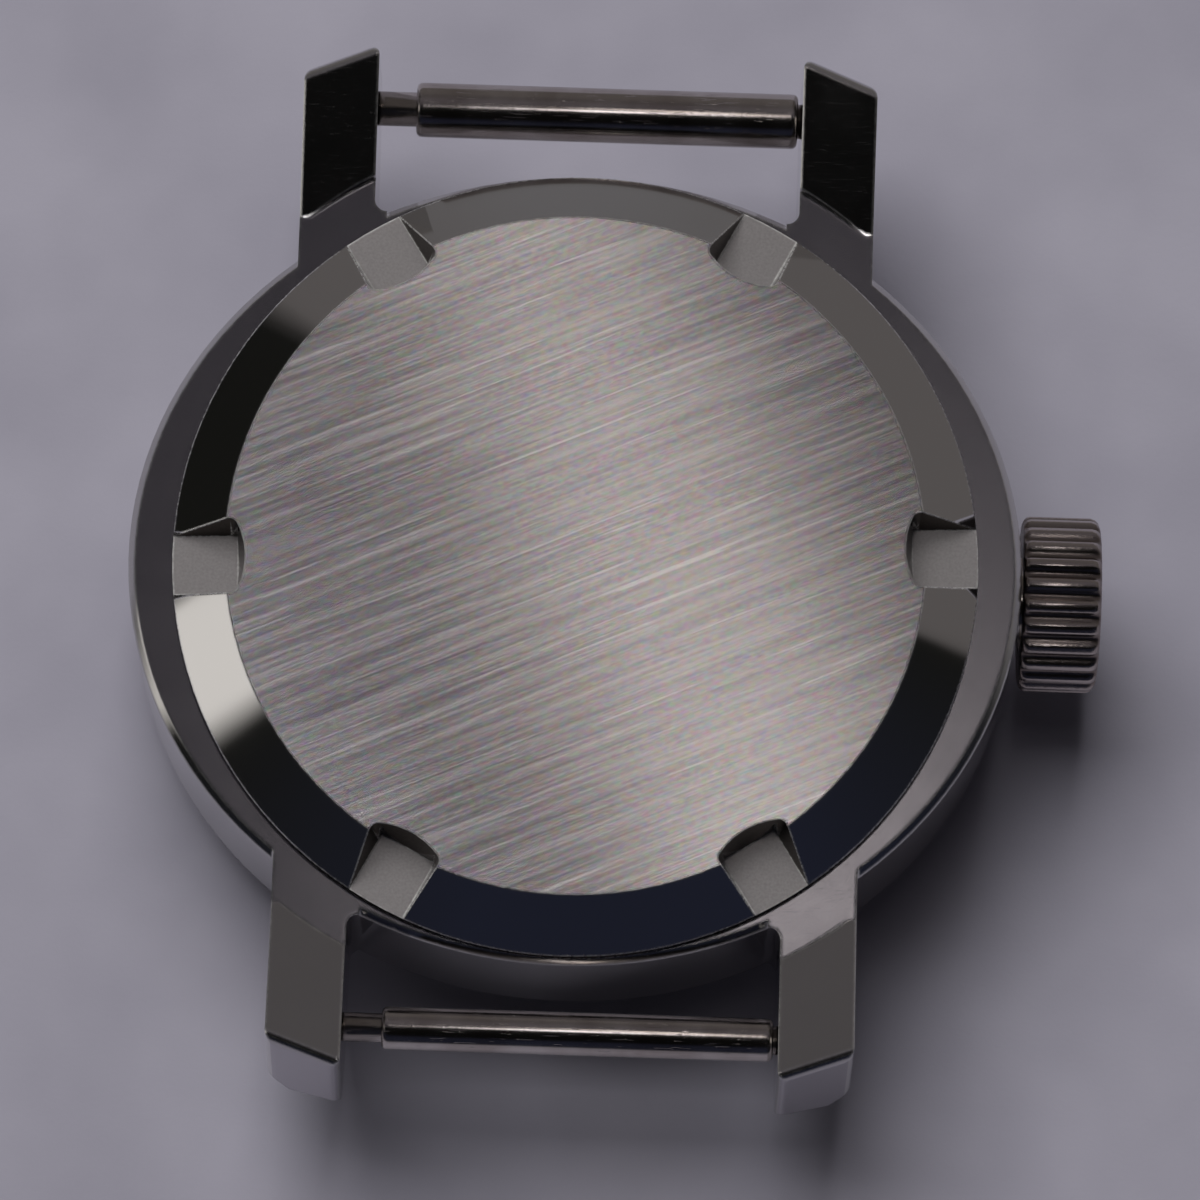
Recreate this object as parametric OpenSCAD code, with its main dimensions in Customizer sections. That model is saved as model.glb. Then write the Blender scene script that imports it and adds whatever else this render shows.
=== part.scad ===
// Oval watch case with a round screw back, two sprung strap bars and a small hand-wound movement.
// +Z points out of the case back. Z = 0 is the crystal's flat outer face, on which the case lies.
// +X points to the crown. The dial's twelve is towards -Y. All sizes are in millimetres.

/* [Case] */
// Length of the oval middle along the crown's axis
case_length = 25; // [24.6:0.1:27]
// Width of the oval middle across the crown's axis
case_width = 22.8; // [22.5:0.1:24.4]
// Height of the middle from the bezel's front to the back's seat
case_height = 5.6; // [5.3:0.1:7]
// How far the crystal stands proud of the bezel's front
crystal_stand = 1.4; // [1.2:0.1:2]
// Bevel round the rim on the back's side
rim_bevel = 0.2; // [0.1:0.05:0.35]
// Radius of the narrow flat on the bezel's front
bezel_flat_r = 9.6; // [9.3:0.1:10.2]
// Slope of the turned bezel in degrees
bezel_slope = 19; // [12:1:24]
// Fillet where a lug's inner face meets the oval wall
lug_fillet = 0.35; // [0.2:0.05:0.6]

/* [Lugs] */
// Gap between the two lugs of a pair, which the strap fills
lug_gap = 12; // [11.5:0.1:12.6]
// Thickness of one lug along the strap bar
lug_width = 2.1; // [1.9:0.05:2.4]
// Distance from the centre to a lug's inner tip, before it is rounded
lug_reach = 14.75; // [14.4:0.05:15.4]
// Slant of the lug's tip seen from the back, in degrees
lug_slant = 21; // [12:1:24]
// Rise of the lug's back face towards the wrist, in degrees
lug_rise = 14; // [8:1:15]
// Distance from the centre at which the lug's back face starts to rise
lug_rise_y = 9.9; // [9.6:0.1:10.6]
// Outward draft of the lug's end face in degrees
lug_draft = 6.4; // [2:0.2:8]
// Radius to which the flat seat is turned across the lug roots
seat_turn_r = 12.65; // [12.3:0.05:13]
// Radius of the curve of the lug's front
lug_front_r = 7.8; // [7.5:0.1:8.2]
// Height of the centre of the lug's front curve over the bezel's front
lug_front_z = 7.6; // [7.4:0.1:8]
// Round along the lug's tip, made as three narrow bevels
lug_tip_round = 0.25; // [0.1:0.05:0.35]
// Radius of the tip's corner on the strap's side
lug_inner_corner = 0.2; // [0.1:0.05:0.3]
// Radius of the tip's corner on the outer side
lug_outer_corner = 0.4; // [0.2:0.05:0.6]
// Bevel along the lug's outer front edge
lug_edge_bevel = 0.6; // [0.3:0.1:0.9]

/* [Strap bars] */
// Distance from the centre to both strap bars
bar_reach = 13.3; // [13:0.05:13.5]
// Depth of the strap bars below the back's seat
bar_depth = 0.3; // [0.1:0.05:0.8]
// Length of a strap bar's tube
bar_tube_length = 10.8; // [10.4:0.1:10.9]
// Gap between a tube's right end and the lug
bar_right_gap = 0.12; // [0.05:0.01:0.2]
// Radius of the upper tube
upper_tube_r = 0.775; // [0.7:0.025:0.85]
// Radius of the upper bar's pivots
upper_pivot_r = 0.49; // [0.42:0.01:0.52]
// Radius of the lower tube
lower_tube_r = 0.6; // [0.58:0.01:0.75]
// Radius of the lower bar's pivots
lower_pivot_r = 0.405; // [0.36:0.005:0.42]
// Wall of a strap bar's tube
bar_tube_wall = 0.1; // [0.08:0.01:0.12]
// Depth of the lip that keeps a pivot in its tube
bar_lip = 0.25; // [0.15:0.05:0.4]
// Length of the shoulder of a pivot
bar_shoulder = 0.8; // [0.5:0.1:1.2]
// How much a pivot's shoulder narrows towards the spring
bar_shoulder_taper = 0.04; // [0.02:0.01:0.06]
// Depth of a bar hole in a lug
lug_hole_depth = 0.75; // [0.6:0.05:0.9]
// Wire radius of a bar spring
bar_wire_r = 0.08; // [0.06:0.01:0.09]
// Turns of a bar spring
bar_spring_turns = 12; // [8:1:14]

/* [Case back] */
// Radius of the back's brushed flat
back_flat_r = 9.75; // [9.5:0.05:10]
// Radius of the back's outer edge
back_edge_r = 11.25; // [10.9:0.05:11.3]
// Height of the back's edge over its seat
back_edge_height = 0.3; // [0.2:0.05:0.4]
// Height of the back's bevel
back_bevel_height = 1.1; // [0.9:0.05:1.3]
// Thickness of the back's plate
back_plate = 1; // [0.8:0.05:1.05]
// Outer radius of the back's threaded neck
neck_r = 9.9; // [9.8:0.05:10]
// Wall of the threaded neck
neck_wall = 0.7; // [0.5:0.05:0.8]
// Length of the threaded neck
neck_length = 1.4; // [1:0.1:1.6]
// Turn past the crown's axis at which the back comes tight, in degrees
back_turn = 2.4; // [0:0.2:30]
// Number of wrench notches
notch_count = 6; // [4:1:8]
// Width of a wrench notch at its floor
notch_width = 1.7; // [1.3:0.1:2]
// Distance from the centre to a notch floor's inner end
notch_floor_r = 9.4; // [9.3:0.02:9.5]
// Radius of the curve of a notch's inner wall, at its floor
notch_end_r = 1.95; // [1.5:0.05:2.4]
// Slope of a notch's walls from upright, in degrees
notch_slope = 11; // [8:1:20]
// Width of the gasket under the back
gasket_width = 0.5; // [0.3:0.05:0.6]
// Depth of the gasket's groove
gasket_depth = 0.4; // [0.3:0.05:0.6]
// Distance from the neck to the gasket
gasket_from_neck = 0.25; // [0.15:0.05:0.35]

/* [Crown] */
// Radius of the crown over its flutes
crown_r = 2.47; // [2.1:0.05:2.6]
// Length of the crown
crown_length = 2.2; // [2.1:0.1:2.8]
// Number of flutes
crown_flutes = 24; // [18:1:30]
// Radius of a flute
flute_r = 0.19; // [0.1:0.01:0.24]
// Bevel at the crown's outer end
crown_bevel = 0.22; // [0.1:0.02:0.3]
// Gap between the crown and the case
crown_gap = 0.08; // [0.05:0.01:0.2]
// Travel of the crown from winding to setting
crown_pull = 0.6; // [0.5:0.05:0.6]
// Outer radius of the crown's tube
crown_tube_r = 1; // [0.9:0.05:1.1]
// How far the crown's tube stands out of the case
crown_tube_out = 1.5; // [1.3:0.05:1.6]
// Wall of the crown's tube
crown_tube_wall = 0.4; // [0.3:0.05:0.45]
// Width of the gasket in the crown
crown_gasket_width = 0.26; // [0.2:0.02:0.4]
// Length of the gasket in the crown
crown_gasket_length = 0.4; // [0.3:0.05:0.5]

/* [Crystal and dial] */
// Radius of the crystal
crystal_r = 8.9; // [8.7:0.05:9.1]
// Thickness of the crystal's top
crystal_top = 1.05; // [0.8:0.05:1.1]
// Wall of the crystal's skirt
crystal_wall = 0.55; // [0.4:0.05:0.7]
// Round of the crystal's shoulder
crystal_round = 0.6; // [0.3:0.05:0.7]
// Depth of the crystal's seat in the bezel
crystal_seat = 0.9; // [0.7:0.05:1.2]
// Radial width of the tension ring
tension_ring_width = 0.55; // [0.4:0.05:0.7]
// Height of the tension ring
tension_ring_height = 0.7; // [0.5:0.05:0.8]
// Thickness of the ledge between crystal and dial
ledge = 0.4; // [0.3:0.05:0.6]
// Radius of the hole in the ledge
ledge_r = 8; // [7.9:0.05:8.2]
// Radius of the dial
dial_r = 9.3; // [9:0.05:9.35]
// Thickness of the dial
dial_thick = 0.38; // [0.3:0.02:0.5]
// Length of an hour marker
marker_length = 1.1; // [0.7:0.1:1.4]
// Width of an hour marker
marker_width = 0.3; // [0.2:0.05:0.4]
// Length of the minute hand
minute_hand_length = 6.2; // [5:0.1:6.8]
// Length of the hour hand
hour_hand_length = 4.2; // [3.4:0.1:4.6]
// Thickness of a hand
hand_thick = 0.12; // [0.1:0.01:0.16]

/* [Movement plates] */
// Radius of the mainplate
plate_r = 8.6; // [8.55:0.01:8.65]
// Thickness of the mainplate
plate_thick = 0.85; // [0.82:0.01:0.95]
// Depth of the recess for the motion work
recess_depth = 0.52; // [0.5:0.01:0.6]
// Radius of the bore that takes the movement ring
case_bore_r = 9.4; // [9.38:0.01:9.45]
// Thickness of the train bridge
train_bridge_thick = 0.32; // [0.26:0.01:0.36]
// Thickness of the barrel bridge
barrel_bridge_thick = 0.25; // [0.2:0.01:0.3]
// Thickness of the balance cock
cock_thick = 0.4; // [0.3:0.02:0.5]
// Radius of a bearing jewel
jewel_r = 0.3; // [0.24:0.01:0.34]
// Height of a bearing jewel
jewel_height = 0.18; // [0.12:0.01:0.22]

/* [Winding work] */
// Radius of the stem's round part
stem_r = 0.45; // [0.4:0.01:0.48]
// Side of the stem's square
stem_square = 0.5; // [0.44:0.01:0.54]
// Height of the stem's axis over the mainplate
stem_rise = 0.4; // [0.38:0.01:0.46]
// Travel of the clutch towards the setting wheel
clutch_travel = 0.35; // [0.25:0.01:0.35]
// Radius of the clutch wheel
clutch_r = 0.72; // [0.68:0.01:0.74]
// Thickness of the ratchet wheel and the crown wheel
winding_wheel_thick = 0.2; // [0.15:0.01:0.25]

/* [Going train] */
// Distance from the centre to the barrel
barrel_at = 4.2; // [4.18:0.01:4.24]
// Height of the barrel
barrel_height = 0.7; // [0.66:0.01:0.76]
// Wall of the barrel's drum
barrel_wall = 0.2; // [0.15:0.01:0.25]
// Thickness of the mainspring's strip
mainspring_thick = 0.1; // [0.06:0.01:0.12]
// Turns of the mainspring
mainspring_turns = 6; // [4:1:7]
// Outer radius of the balance's rim
balance_r = 3; // [2.7:0.05:3.05]
// Width of the balance's rim
balance_rim = 0.28; // [0.2:0.02:0.4]
// Thickness of the balance's rim
balance_thick = 0.25; // [0.2:0.01:0.27]
// Turns of the hairspring
hairspring_turns = 6; // [4:1:8]

/* [Clearances] */
// Radial clearance of a turning or sliding fit
run_fit = 0.03; // [0.02:0.005:0.04]
// Radial clearance of a seated piece
seat_fit = 0.02; // [0.01:0.005:0.03]
// Radial clearance of the back's thread
thread_fit = 0.05; // [0.03:0.01:0.08]
// Space between layers of the movement
layer_gap = 0.05; // [0.03:0.01:0.06]

/* [Hidden] */

cut = 1;
far = 20;
facets = 96;
steel = [0.72, 0.71, 0.69];
bright_steel = [0.82, 0.81, 0.79];
warm_steel = [0.6, 0.55, 0.51];
brass = [0.83, 0.69, 0.38];
gilt = [0.86, 0.74, 0.5];
blued = [0.16, 0.22, 0.45];
ruby = [0.75, 0.1, 0.25];

// Levels of the case
bezel_z = crystal_stand;
seat_z = bezel_z + case_height;
ledge_z = bezel_z + crystal_seat;
dial_z = ledge_z + ledge;
back_edge_z = seat_z + back_edge_height;
back_flat_z = back_edge_z + back_bevel_height;
neck_z = seat_z - neck_length;
bar_z = seat_z - bar_depth;

// Levels of the movement
plate_z = dial_z + dial_thick + seat_fit;
plate_top = plate_z + plate_thick;
recess_z = plate_z + recess_depth;
stem_z = plate_top + stem_rise;
wheel_thick = 0.15;
thin_wheel = 0.1;
center_wheel_z = plate_top + layer_gap;
fourth_wheel_z = center_wheel_z + wheel_thick + 2 * layer_gap;
barrel_z = fourth_wheel_z + thin_wheel + layer_gap;
barrel_top = barrel_z + barrel_height;
barrel_teeth = 0.25;
third_wheel_z = barrel_z + 2 * layer_gap;
third_wheel_thick = 0.12;
escape_wheel_z = third_wheel_z + layer_gap;
escape_wheel_top = escape_wheel_z + thin_wheel;
pallet_bridge_z = escape_wheel_top + layer_gap + 0.02;
pallet_bridge_thick = 0.13;
train_bridge_z = barrel_top - train_bridge_thick;
balance_z = pallet_bridge_z + pallet_bridge_thick + layer_gap;
balance_top = balance_z + balance_thick;
barrel_bridge_z = barrel_top + layer_gap;
barrel_bridge_top = barrel_bridge_z + barrel_bridge_thick;
winding_z = barrel_bridge_top + layer_gap;
winding_top = winding_z + winding_wheel_thick;
cock_z = balance_top + 4 * layer_gap;
cock_top = cock_z + cock_thick;
roller_z = pallet_bridge_z;
roller_thick = 0.1;

// Places in the movement, seen from the back
barrel_angle = 60;
third_angle = 175;
fourth_angle = 262;
escape_angle = 310;
train_module = 0.1;
third_module = 0.09;
fourth_module = 0.07;
winding_module = 0.1;
barrel_teeth_count = 72;
center_pinion_count = 12;
center_wheel_count = 64;
third_pinion_count = 8;
third_wheel_count = 60;
fourth_pinion_count = 8;
fourth_wheel_count = 70;
escape_pinion_count = 7;
ratchet_count = 52;
crown_wheel_count = 38;
winding_pinion_count = 20;
center_pitch_r = train_module * center_wheel_count / 2;
escape_r = 1.5;
escape_count = 15;
function polar(r, a) = [r * cos(a), r * sin(a)];
function mesh(n1, n2, m) = m * (n1 + n2) / 2;
barrel_pos = polar(barrel_at, barrel_angle);
third_pos = polar(mesh(center_wheel_count, third_pinion_count, train_module), third_angle);
fourth_pos = third_pos + polar(mesh(third_wheel_count, fourth_pinion_count, third_module), fourth_angle);
escape_pos = fourth_pos + polar(mesh(fourth_wheel_count, escape_pinion_count, fourth_module), escape_angle);
pallet_pos = [-0.64, -4.18];
balance_pos = [1.56, -4.37];
winding_mesh = mesh(ratchet_count, crown_wheel_count, winding_module);
crown_wheel_x = barrel_pos[0] + sqrt(winding_mesh * winding_mesh - barrel_pos[1] * barrel_pos[1]);
crown_wheel_angle = atan2(-barrel_pos[1], crown_wheel_x - barrel_pos[0]);
crown_wheel_r = winding_module * crown_wheel_count / 2;
winding_pinion_r = winding_module * winding_pinion_count / 2;

// Lengths along the stem
pinion_x = crown_wheel_x + crown_wheel_r - 0.4;
pinion_length = 0.45;
clutch_length = 0.9;
clutch_x = pinion_x - layer_gap - clutch_length;
clutch_groove = 0.2;
clutch_groove_r = 0.5;
clutch_groove_x = clutch_x + clutch_length / 2;
pilot_r = 0.2;
pilot_x = clutch_x - crown_pull - 0.6;
square_x = clutch_x - clutch_travel;
pilot_block = 0.65;
pilot_block_half = 0.45;
stem_block_x = pinion_x + pinion_length + 0.2;
stem_block_half = 1.3;
stem_block_top = stem_z + 0.95;
groove_x = stem_block_x + 0.35;
groove_length = 0.4;
groove_r = 0.25;
lever_pin_x = groove_x + groove_length / 2;
case_half = case_length / 2;
crown_x = case_half + crown_gap;
crown_out_x = crown_x + crown_length;
crown_tube_end = case_half + crown_tube_out;
crown_cavity_end = crown_tube_end + 0.1;
crown_cavity_r = crown_tube_r + seat_fit + crown_gasket_width + seat_fit;
stem_thread_r = crown_tube_r - crown_tube_wall - 2 * seat_fit - 0.14;
stem_end = crown_cavity_end + 0.4;

// Sizes of the motion work
cannon_count = 12;
minute_wheel_count = 36;
minute_pinion_count = 10;
hour_wheel_count = 40;
setting_count = 24;
motion_module = 0.08;
motion_at = mesh(cannon_count, minute_wheel_count, motion_module);
hour_module = 2 * motion_at / (minute_pinion_count + hour_wheel_count);
setting_at = motion_at + mesh(minute_wheel_count, setting_count, motion_module);
hour_wheel_z = plate_z + layer_gap;
hour_wheel_thick = 0.13;
minute_wheel_z = recess_z - 0.2;
minute_wheel_thick = 0.14;
arbor_r = 0.25;
cannon_bore_r = arbor_r + 0.01;
cannon_r = 0.4;
pipe_bore_r = cannon_r + run_fit;
pipe_r = 0.72;
hour_hand_z = dial_z - 0.34;
minute_hand_z = hour_hand_z - 0.28;
dial_hole_r = pipe_r + 0.13;
stud_r = 0.2;

// Sizes of small arbors and fasteners
train_arbor_r = 0.15;
pivot_r = 0.07;
jewel_bore_r = pivot_r + 0.02;
pivot_hole_r = 0.12;
plate_pivot_z = plate_top - 0.15;
barrel_arbor_r = 0.35;
screw_head_r = 0.42;
screw_head = 0.2;
screw_shank_r = 0.2;
screw_depth = 0.5;
foot_in = plate_r - 1.1;
foot_out = plate_r - 0.4;
bridge_r = plate_r - 0.2;
past_plate = plate_r + 0.4;
ring_in_r = plate_r + thread_fit;
ring_out_r = case_bore_r - thread_fit;
ring_top = neck_z - layer_gap;
clamp_angles = [-50, 97];
clamp_z = plate_top + seat_fit;
clamp_thick = 0.14;
train_screw_angles = [165, 235];
barrel_screw_angles = [22, 118];
screw_ring_r = plate_r - 0.74;
cock_foot = [6.1, -4.3];
cock_foot_r = 0.95;
pallet_foot = [0, -6.6];
pallet_foot_r = 0.45;
click_at = 3.4;
click_angle = 195;
click_pos = barrel_pos + polar(click_at, click_angle);
click_tip = barrel_pos + polar(winding_module * ratchet_count / 2 + 0.25, 180);
lever_arm = 1.45;
lever_swing = asin(crown_pull / 2 / lever_arm);
lever_pos = [lever_pin_x + crown_pull / 2, -lever_arm * cos(lever_swing)];
yoke_arm = 2;
yoke_swing = asin(clutch_travel / 2 / yoke_arm);
yoke_finger_y = -(clutch_groove_r + 0.11);
yoke_pos = [clutch_groove_x - clutch_travel / 2, yoke_finger_y - yoke_arm * cos(yoke_swing)];
setting_bridge_thick = 0.1;
setting_bridge_top = plate_z + setting_bridge_thick;
setting_screw_pos = (lever_pos + yoke_pos) / 2;
setting_head_r = 0.24;
setting_head = 0.05;
setting_shank_r = 0.1;
lever_z = setting_bridge_top + layer_gap;
lever_thick = 0.18;

// A plain disc between two heights
module disc(r, z0, z1) {
    translate([0, 0, z0]) cylinder(r = r, h = z1 - z0, $fn = facets);
}

// A plain ring between two heights
module ring(r_out, r_in, z0, z1) {
    difference() {
        disc(r_out, z0, z1);
        disc(r_in, z0 - cut, z1 + cut);
    }
}

// A block of a ring between two angles less than a half turn apart
module ring_block(r_in, r_out, a0, a1, z0, z1) {
    intersection() {
        ring(r_out, r_in, z0, z1);
        translate([0, 0, z0 - cut]) linear_extrude(height = z1 - z0 + 2 * cut)
            polygon([[0, 0], polar(far, a0), polar(far, (a0 + a1) / 2), polar(far, a1)]);
    }
}

// Places a shape that is drawn along +Z on the stem's axis, starting at a given X
module on_stem(x) {
    translate([x, 0, stem_z]) rotate([0, 90, 0]) children();
}

// A round rod on the stem's axis between two places
module stem_rod(r, x0, x1) {
    on_stem(x0) cylinder(r = r, h = x1 - x0, $fn = facets);
}

// A flat link with round ends
module link(from, to, width, z0, z1) {
    run = norm(to - from);
    translate([from[0], from[1], 0]) rotate([0, 0, atan2(to[1] - from[1], to[0] - from[0])]) {
        translate([0, -width / 2, z0]) cube([run, width, z1 - z0]);
        disc(width / 2, z0, z1);
        translate([run, 0, 0]) disc(width / 2, z0, z1);
    }
}

// Outline of a gear with straight-sided teeth, one of them centred on +X
module gear_outline(teeth, m) {
    pitch_r = m * teeth / 2;
    step = 360 / teeth;
    radii = [pitch_r - 1.15 * m, pitch_r + 0.85 * m, pitch_r + 0.85 * m, pitch_r - 1.15 * m];
    shares = [-0.32, -0.12, 0.12, 0.32];
    polygon([for (i = [0:teeth - 1], k = [0:3]) polar(radii[k], step * (i + shares[k]))]);
}

// A gear between two heights, with a tooth centred on the angle phase
module gear(teeth, m, z0, z1, phase = 0) {
    translate([0, 0, z0]) rotate([0, 0, phase]) linear_extrude(height = z1 - z0) gear_outline(teeth, m);
}

// Angle of a tooth of the second gear that meshes with the first gear
function meshed(phase, direction, n1, n2) = direction + 180 - (phase - direction) * n1 / n2 + 180 / n2;

// Windows between the arms of a wheel
module arm_windows(arms, arm_width, r_hub, r_rim, z0, z1) {
    translate([0, 0, z0]) linear_extrude(height = z1 - z0) difference() {
        circle(r = r_rim, $fn = facets);
        circle(r = r_hub, $fn = facets);
        for (i = [0:arms - 1]) rotate([0, 0, i * 360 / arms])
            translate([0, -arm_width / 2]) square([r_rim + cut, arm_width]);
    }
}

// A flat strip wound in a spiral between two radii
module spiral_strip(r_in, r_out, turns, thick, z0, z1) {
    steps = turns * 18;
    function at(i, side) = polar(r_in + (r_out - r_in) * i / steps + side * thick / 2, i * 20);
    translate([0, 0, z0]) linear_extrude(height = z1 - z0)
        polygon(concat([for (i = [0:steps]) at(i, 1)], [for (i = [steps:-1:0]) at(i, -1)]));
}

// An oval slab with bevelled edges
module oval_slab(z0, z1, low, high) {
    r = case_length / 2;
    intersection() {
        translate([-case_length, -case_length, z0]) cube([2 * case_length, 2 * case_length, z1 - z0]);
        scale([1, case_width / case_length, 1]) rotate_extrude($fn = 2 * facets)
            polygon([[0, z0 - cut], [r - low - cut, z0 - cut], [r, z0 + low], [r, z1 - high],
                [r - high - cut, z1 + cut], [0, z1 + cut]]);
    }
}

// One lug, on the side of +X and +Y
lug_in = lug_gap / 2;
lug_arc_y = lug_reach - 6.35;
lug_arc_z = bezel_z + lug_front_z;
lug_tip_z = seat_z + (lug_reach - lug_rise_y) * tan(lug_rise);
lug_back_tilt = 90 + asin(sin(lug_rise) * cos(lug_slant));
lug_bevels = 3;
module lug() {
    difference() {
        intersection() {
            translate([lug_in, case_width / 4, bezel_z]) cube([lug_width, case_width, far]);
            translate([lug_in, lug_reach, lug_tip_z]) rotate([lug_draft, 0, 0]) translate([0, 0, -far])
                linear_extrude(height = 2 * far) lug_outline();
            translate([lug_in, lug_arc_y, lug_arc_z]) rotate([90, 0, 90]) rotate_extrude($fn = 2 * facets)
                polygon([[0, 0], [lug_front_r, 0], [lug_front_r, lug_width - lug_edge_bevel],
                    [lug_front_r - lug_edge_bevel, lug_width], [0, lug_width]]);
        }
        translate([0, lug_rise_y, seat_z]) rotate([lug_rise, 0, 0]) cube([far, far, far]);
        translate([0, lug_rise_y - far, seat_z]) cube([far, far, far]);
        for (i = [1:lug_bevels]) lug_bevel(i / (lug_bevels + 1));
    }
}

// Outline of a lug seen from the back, with the tip's inner corner at the origin before it is rounded
module lug_outline() {
    end_way = 90 - lug_slant;
    outer_x = lug_width - lug_outer_corner;
    outer = [outer_x, -(lug_outer_corner + outer_x * sin(lug_slant)) / cos(lug_slant)];
    inner = [lug_inner_corner, -lug_inner_corner * (1 + sin(lug_slant)) / cos(lug_slant)];
    outer_arc = [for (i = [0:lug_bevels + 1])
        outer + polar(lug_outer_corner, end_way * i / (lug_bevels + 1))];
    inner_arc = [for (i = [0:lug_bevels + 1])
        inner + polar(lug_inner_corner, end_way + (180 - end_way) * i / (lug_bevels + 1))];
    polygon(concat([[0, -far], [lug_width, -far]], outer_arc, inner_arc));
}

// What one bevel of the tip's round takes away, share of the way from the end face to the back face
module lug_bevel(share) {
    half_turn = (lug_back_tilt - lug_draft) / 2;
    turn = half_turn * (2 * share - 1);
    inset = lug_tip_round * (cos(turn) / cos(half_turn) - 1);
    translate([lug_in, lug_reach, lug_tip_z]) rotate([0, atan(sin(lug_slant) * tan(lug_rise)), -lug_slant])
        rotate([lug_draft + half_turn + turn, 0, 0])
            translate([-far / 2, -inset, -far]) cube([2 * far, far, 2 * far]);
}

// The four lugs are mirror images of one
module four_ways() {
    for (x = [0, 1], y = [0, 1]) mirror([x, 0, 0]) mirror([0, y, 0]) children();
}

// Hollow corner between a lug's inner face and the oval wall
module lug_root() {
    x = lug_in - lug_fillet;
    wall_y = case_width / 2 * sqrt(1 - pow(x / case_half, 2));
    translate([x, wall_y - cut, bezel_z + 1]) difference() {
        cube([lug_fillet + seat_fit, lug_fillet + cut, case_height - 1]);
        translate([0, lug_fillet + cut, -cut]) cylinder(r = lug_fillet, h = far, $fn = facets);
    }
}

// Holes in the lugs for the pivots of one strap bar
module lug_holes(y, r) {
    translate([-lug_in - lug_hole_depth, y, bar_z]) rotate([0, 90, 0])
        cylinder(r = r, h = lug_gap + 2 * lug_hole_depth, $fn = facets);
}

// The turned slope of the bezel, as what it takes away
module bezel_turning() {
    rise = far * tan(bezel_slope);
    rotate_extrude($fn = 2 * facets) polygon([[bezel_flat_r, bezel_z], [bezel_flat_r + far, bezel_z + rise],
        [bezel_flat_r + far, bezel_z - cut], [bezel_flat_r, bezel_z - cut]]);
}

gasket_in_r = neck_r + gasket_from_neck;
module case_middle() {
    color(steel) difference() {
        union() {
            oval_slab(bezel_z, seat_z, 0, rim_bevel);
            four_ways() lug();
            four_ways() lug_root();
        }
        bezel_turning();
        disc(seat_turn_r, seat_z, seat_z + far);
        disc(crystal_r + seat_fit, bezel_z - cut, ledge_z);
        disc(ledge_r, bezel_z - cut, seat_z + cut);
        disc(case_bore_r, dial_z, seat_z + cut);
        disc(neck_r + thread_fit, neck_z, seat_z + cut);
        ring(gasket_in_r + gasket_width + seat_fit, gasket_in_r - seat_fit, seat_z - gasket_depth,
            seat_z + cut);
        stem_rod(crown_tube_r, ledge_r, case_half + cut);
        lug_holes(bar_reach, upper_pivot_r + run_fit);
        lug_holes(-bar_reach, lower_pivot_r + run_fit);
    }
}

module crystal() {
    skirt_r = crystal_r - crystal_wall;
    color([0.85, 0.9, 0.92, 0.4]) rotate_extrude($fn = facets) difference() {
        union() {
            translate([0, crystal_round]) square([crystal_r, ledge_z - seat_fit - crystal_round]);
            square([crystal_r - crystal_round, crystal_round + seat_fit]);
            translate([crystal_r - crystal_round, crystal_round]) circle(r = crystal_round, $fn = facets);
        }
        translate([0, crystal_top]) square([skirt_r, far]);
    }
}

tension_ring_r = crystal_r - crystal_wall - seat_fit;
module tension_ring() {
    color(bright_steel)
        ring(tension_ring_r, tension_ring_r - tension_ring_width, ledge_z - seat_fit - tension_ring_height,
            ledge_z - seat_fit);
}

// One wrench notch, as what it takes out of the back. Its floor is square, its walls lean outwards and
// its inner wall is curved, with round corners that widen from points on the floor
module notch() {
    height = back_bevel_height + cut;
    lean = tan(notch_slope) * height;
    half = notch_width / 2;
    axis_x = notch_floor_r + notch_end_r;
    corner_x = axis_x - sqrt(notch_end_r * notch_end_r - half * half);
    translate([0, 0, back_edge_z]) {
        translate([notch_floor_r, -half, 0]) cube([far, notch_width, height]);
        translate([corner_x, 0, 0]) rotate([90, 0, 90]) linear_extrude(height = far)
            polygon([[-half, 0], [half, 0], [half + lean, height], [-half - lean, height]]);
        intersection() {
            translate([axis_x, 0, 0])
                cylinder(r1 = notch_end_r, r2 = notch_end_r + lean, h = height, $fn = facets);
            linear_extrude(height = height)
                polygon([[axis_x, 0], [2 * corner_x - axis_x, 2 * half], [2 * corner_x - axis_x, -2 * half]]);
        }
        for (side = [-1, 1]) translate([corner_x, side * half, 0])
            cylinder(r1 = 0, r2 = lean, h = height, $fn = facets);
    }
}

// The screw back. It is turned with its seam between two notches
module case_back() {
    inner_r = neck_r - neck_wall;
    color(steel) rotate([0, 0, back_turn]) difference() {
        rotate([0, 0, 180 / notch_count]) rotate_extrude($fn = 2 * facets)
            polygon([[0, back_flat_z - back_plate], [inner_r - neck_wall, back_flat_z - back_plate],
                [inner_r - neck_wall, seat_z], [inner_r, seat_z], [inner_r, neck_z], [neck_r, neck_z],
                [neck_r, seat_z], [back_edge_r, seat_z], [back_edge_r, back_edge_z],
                [back_flat_r, back_flat_z], [0, back_flat_z]]);
        for (i = [0:notch_count - 1]) rotate([0, 0, i * 360 / notch_count]) notch();
    }
}

module case_back_gasket() {
    color([0.12, 0.12, 0.13]) ring(gasket_in_r + gasket_width, gasket_in_r, seat_z - gasket_depth, seat_z);
}

module crown_tube() {
    color(steel) difference() {
        stem_rod(crown_tube_r, case_bore_r + thread_fit, crown_tube_end);
        stem_rod(crown_tube_r - crown_tube_wall, ledge_r, crown_tube_end + cut);
    }
}

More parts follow.
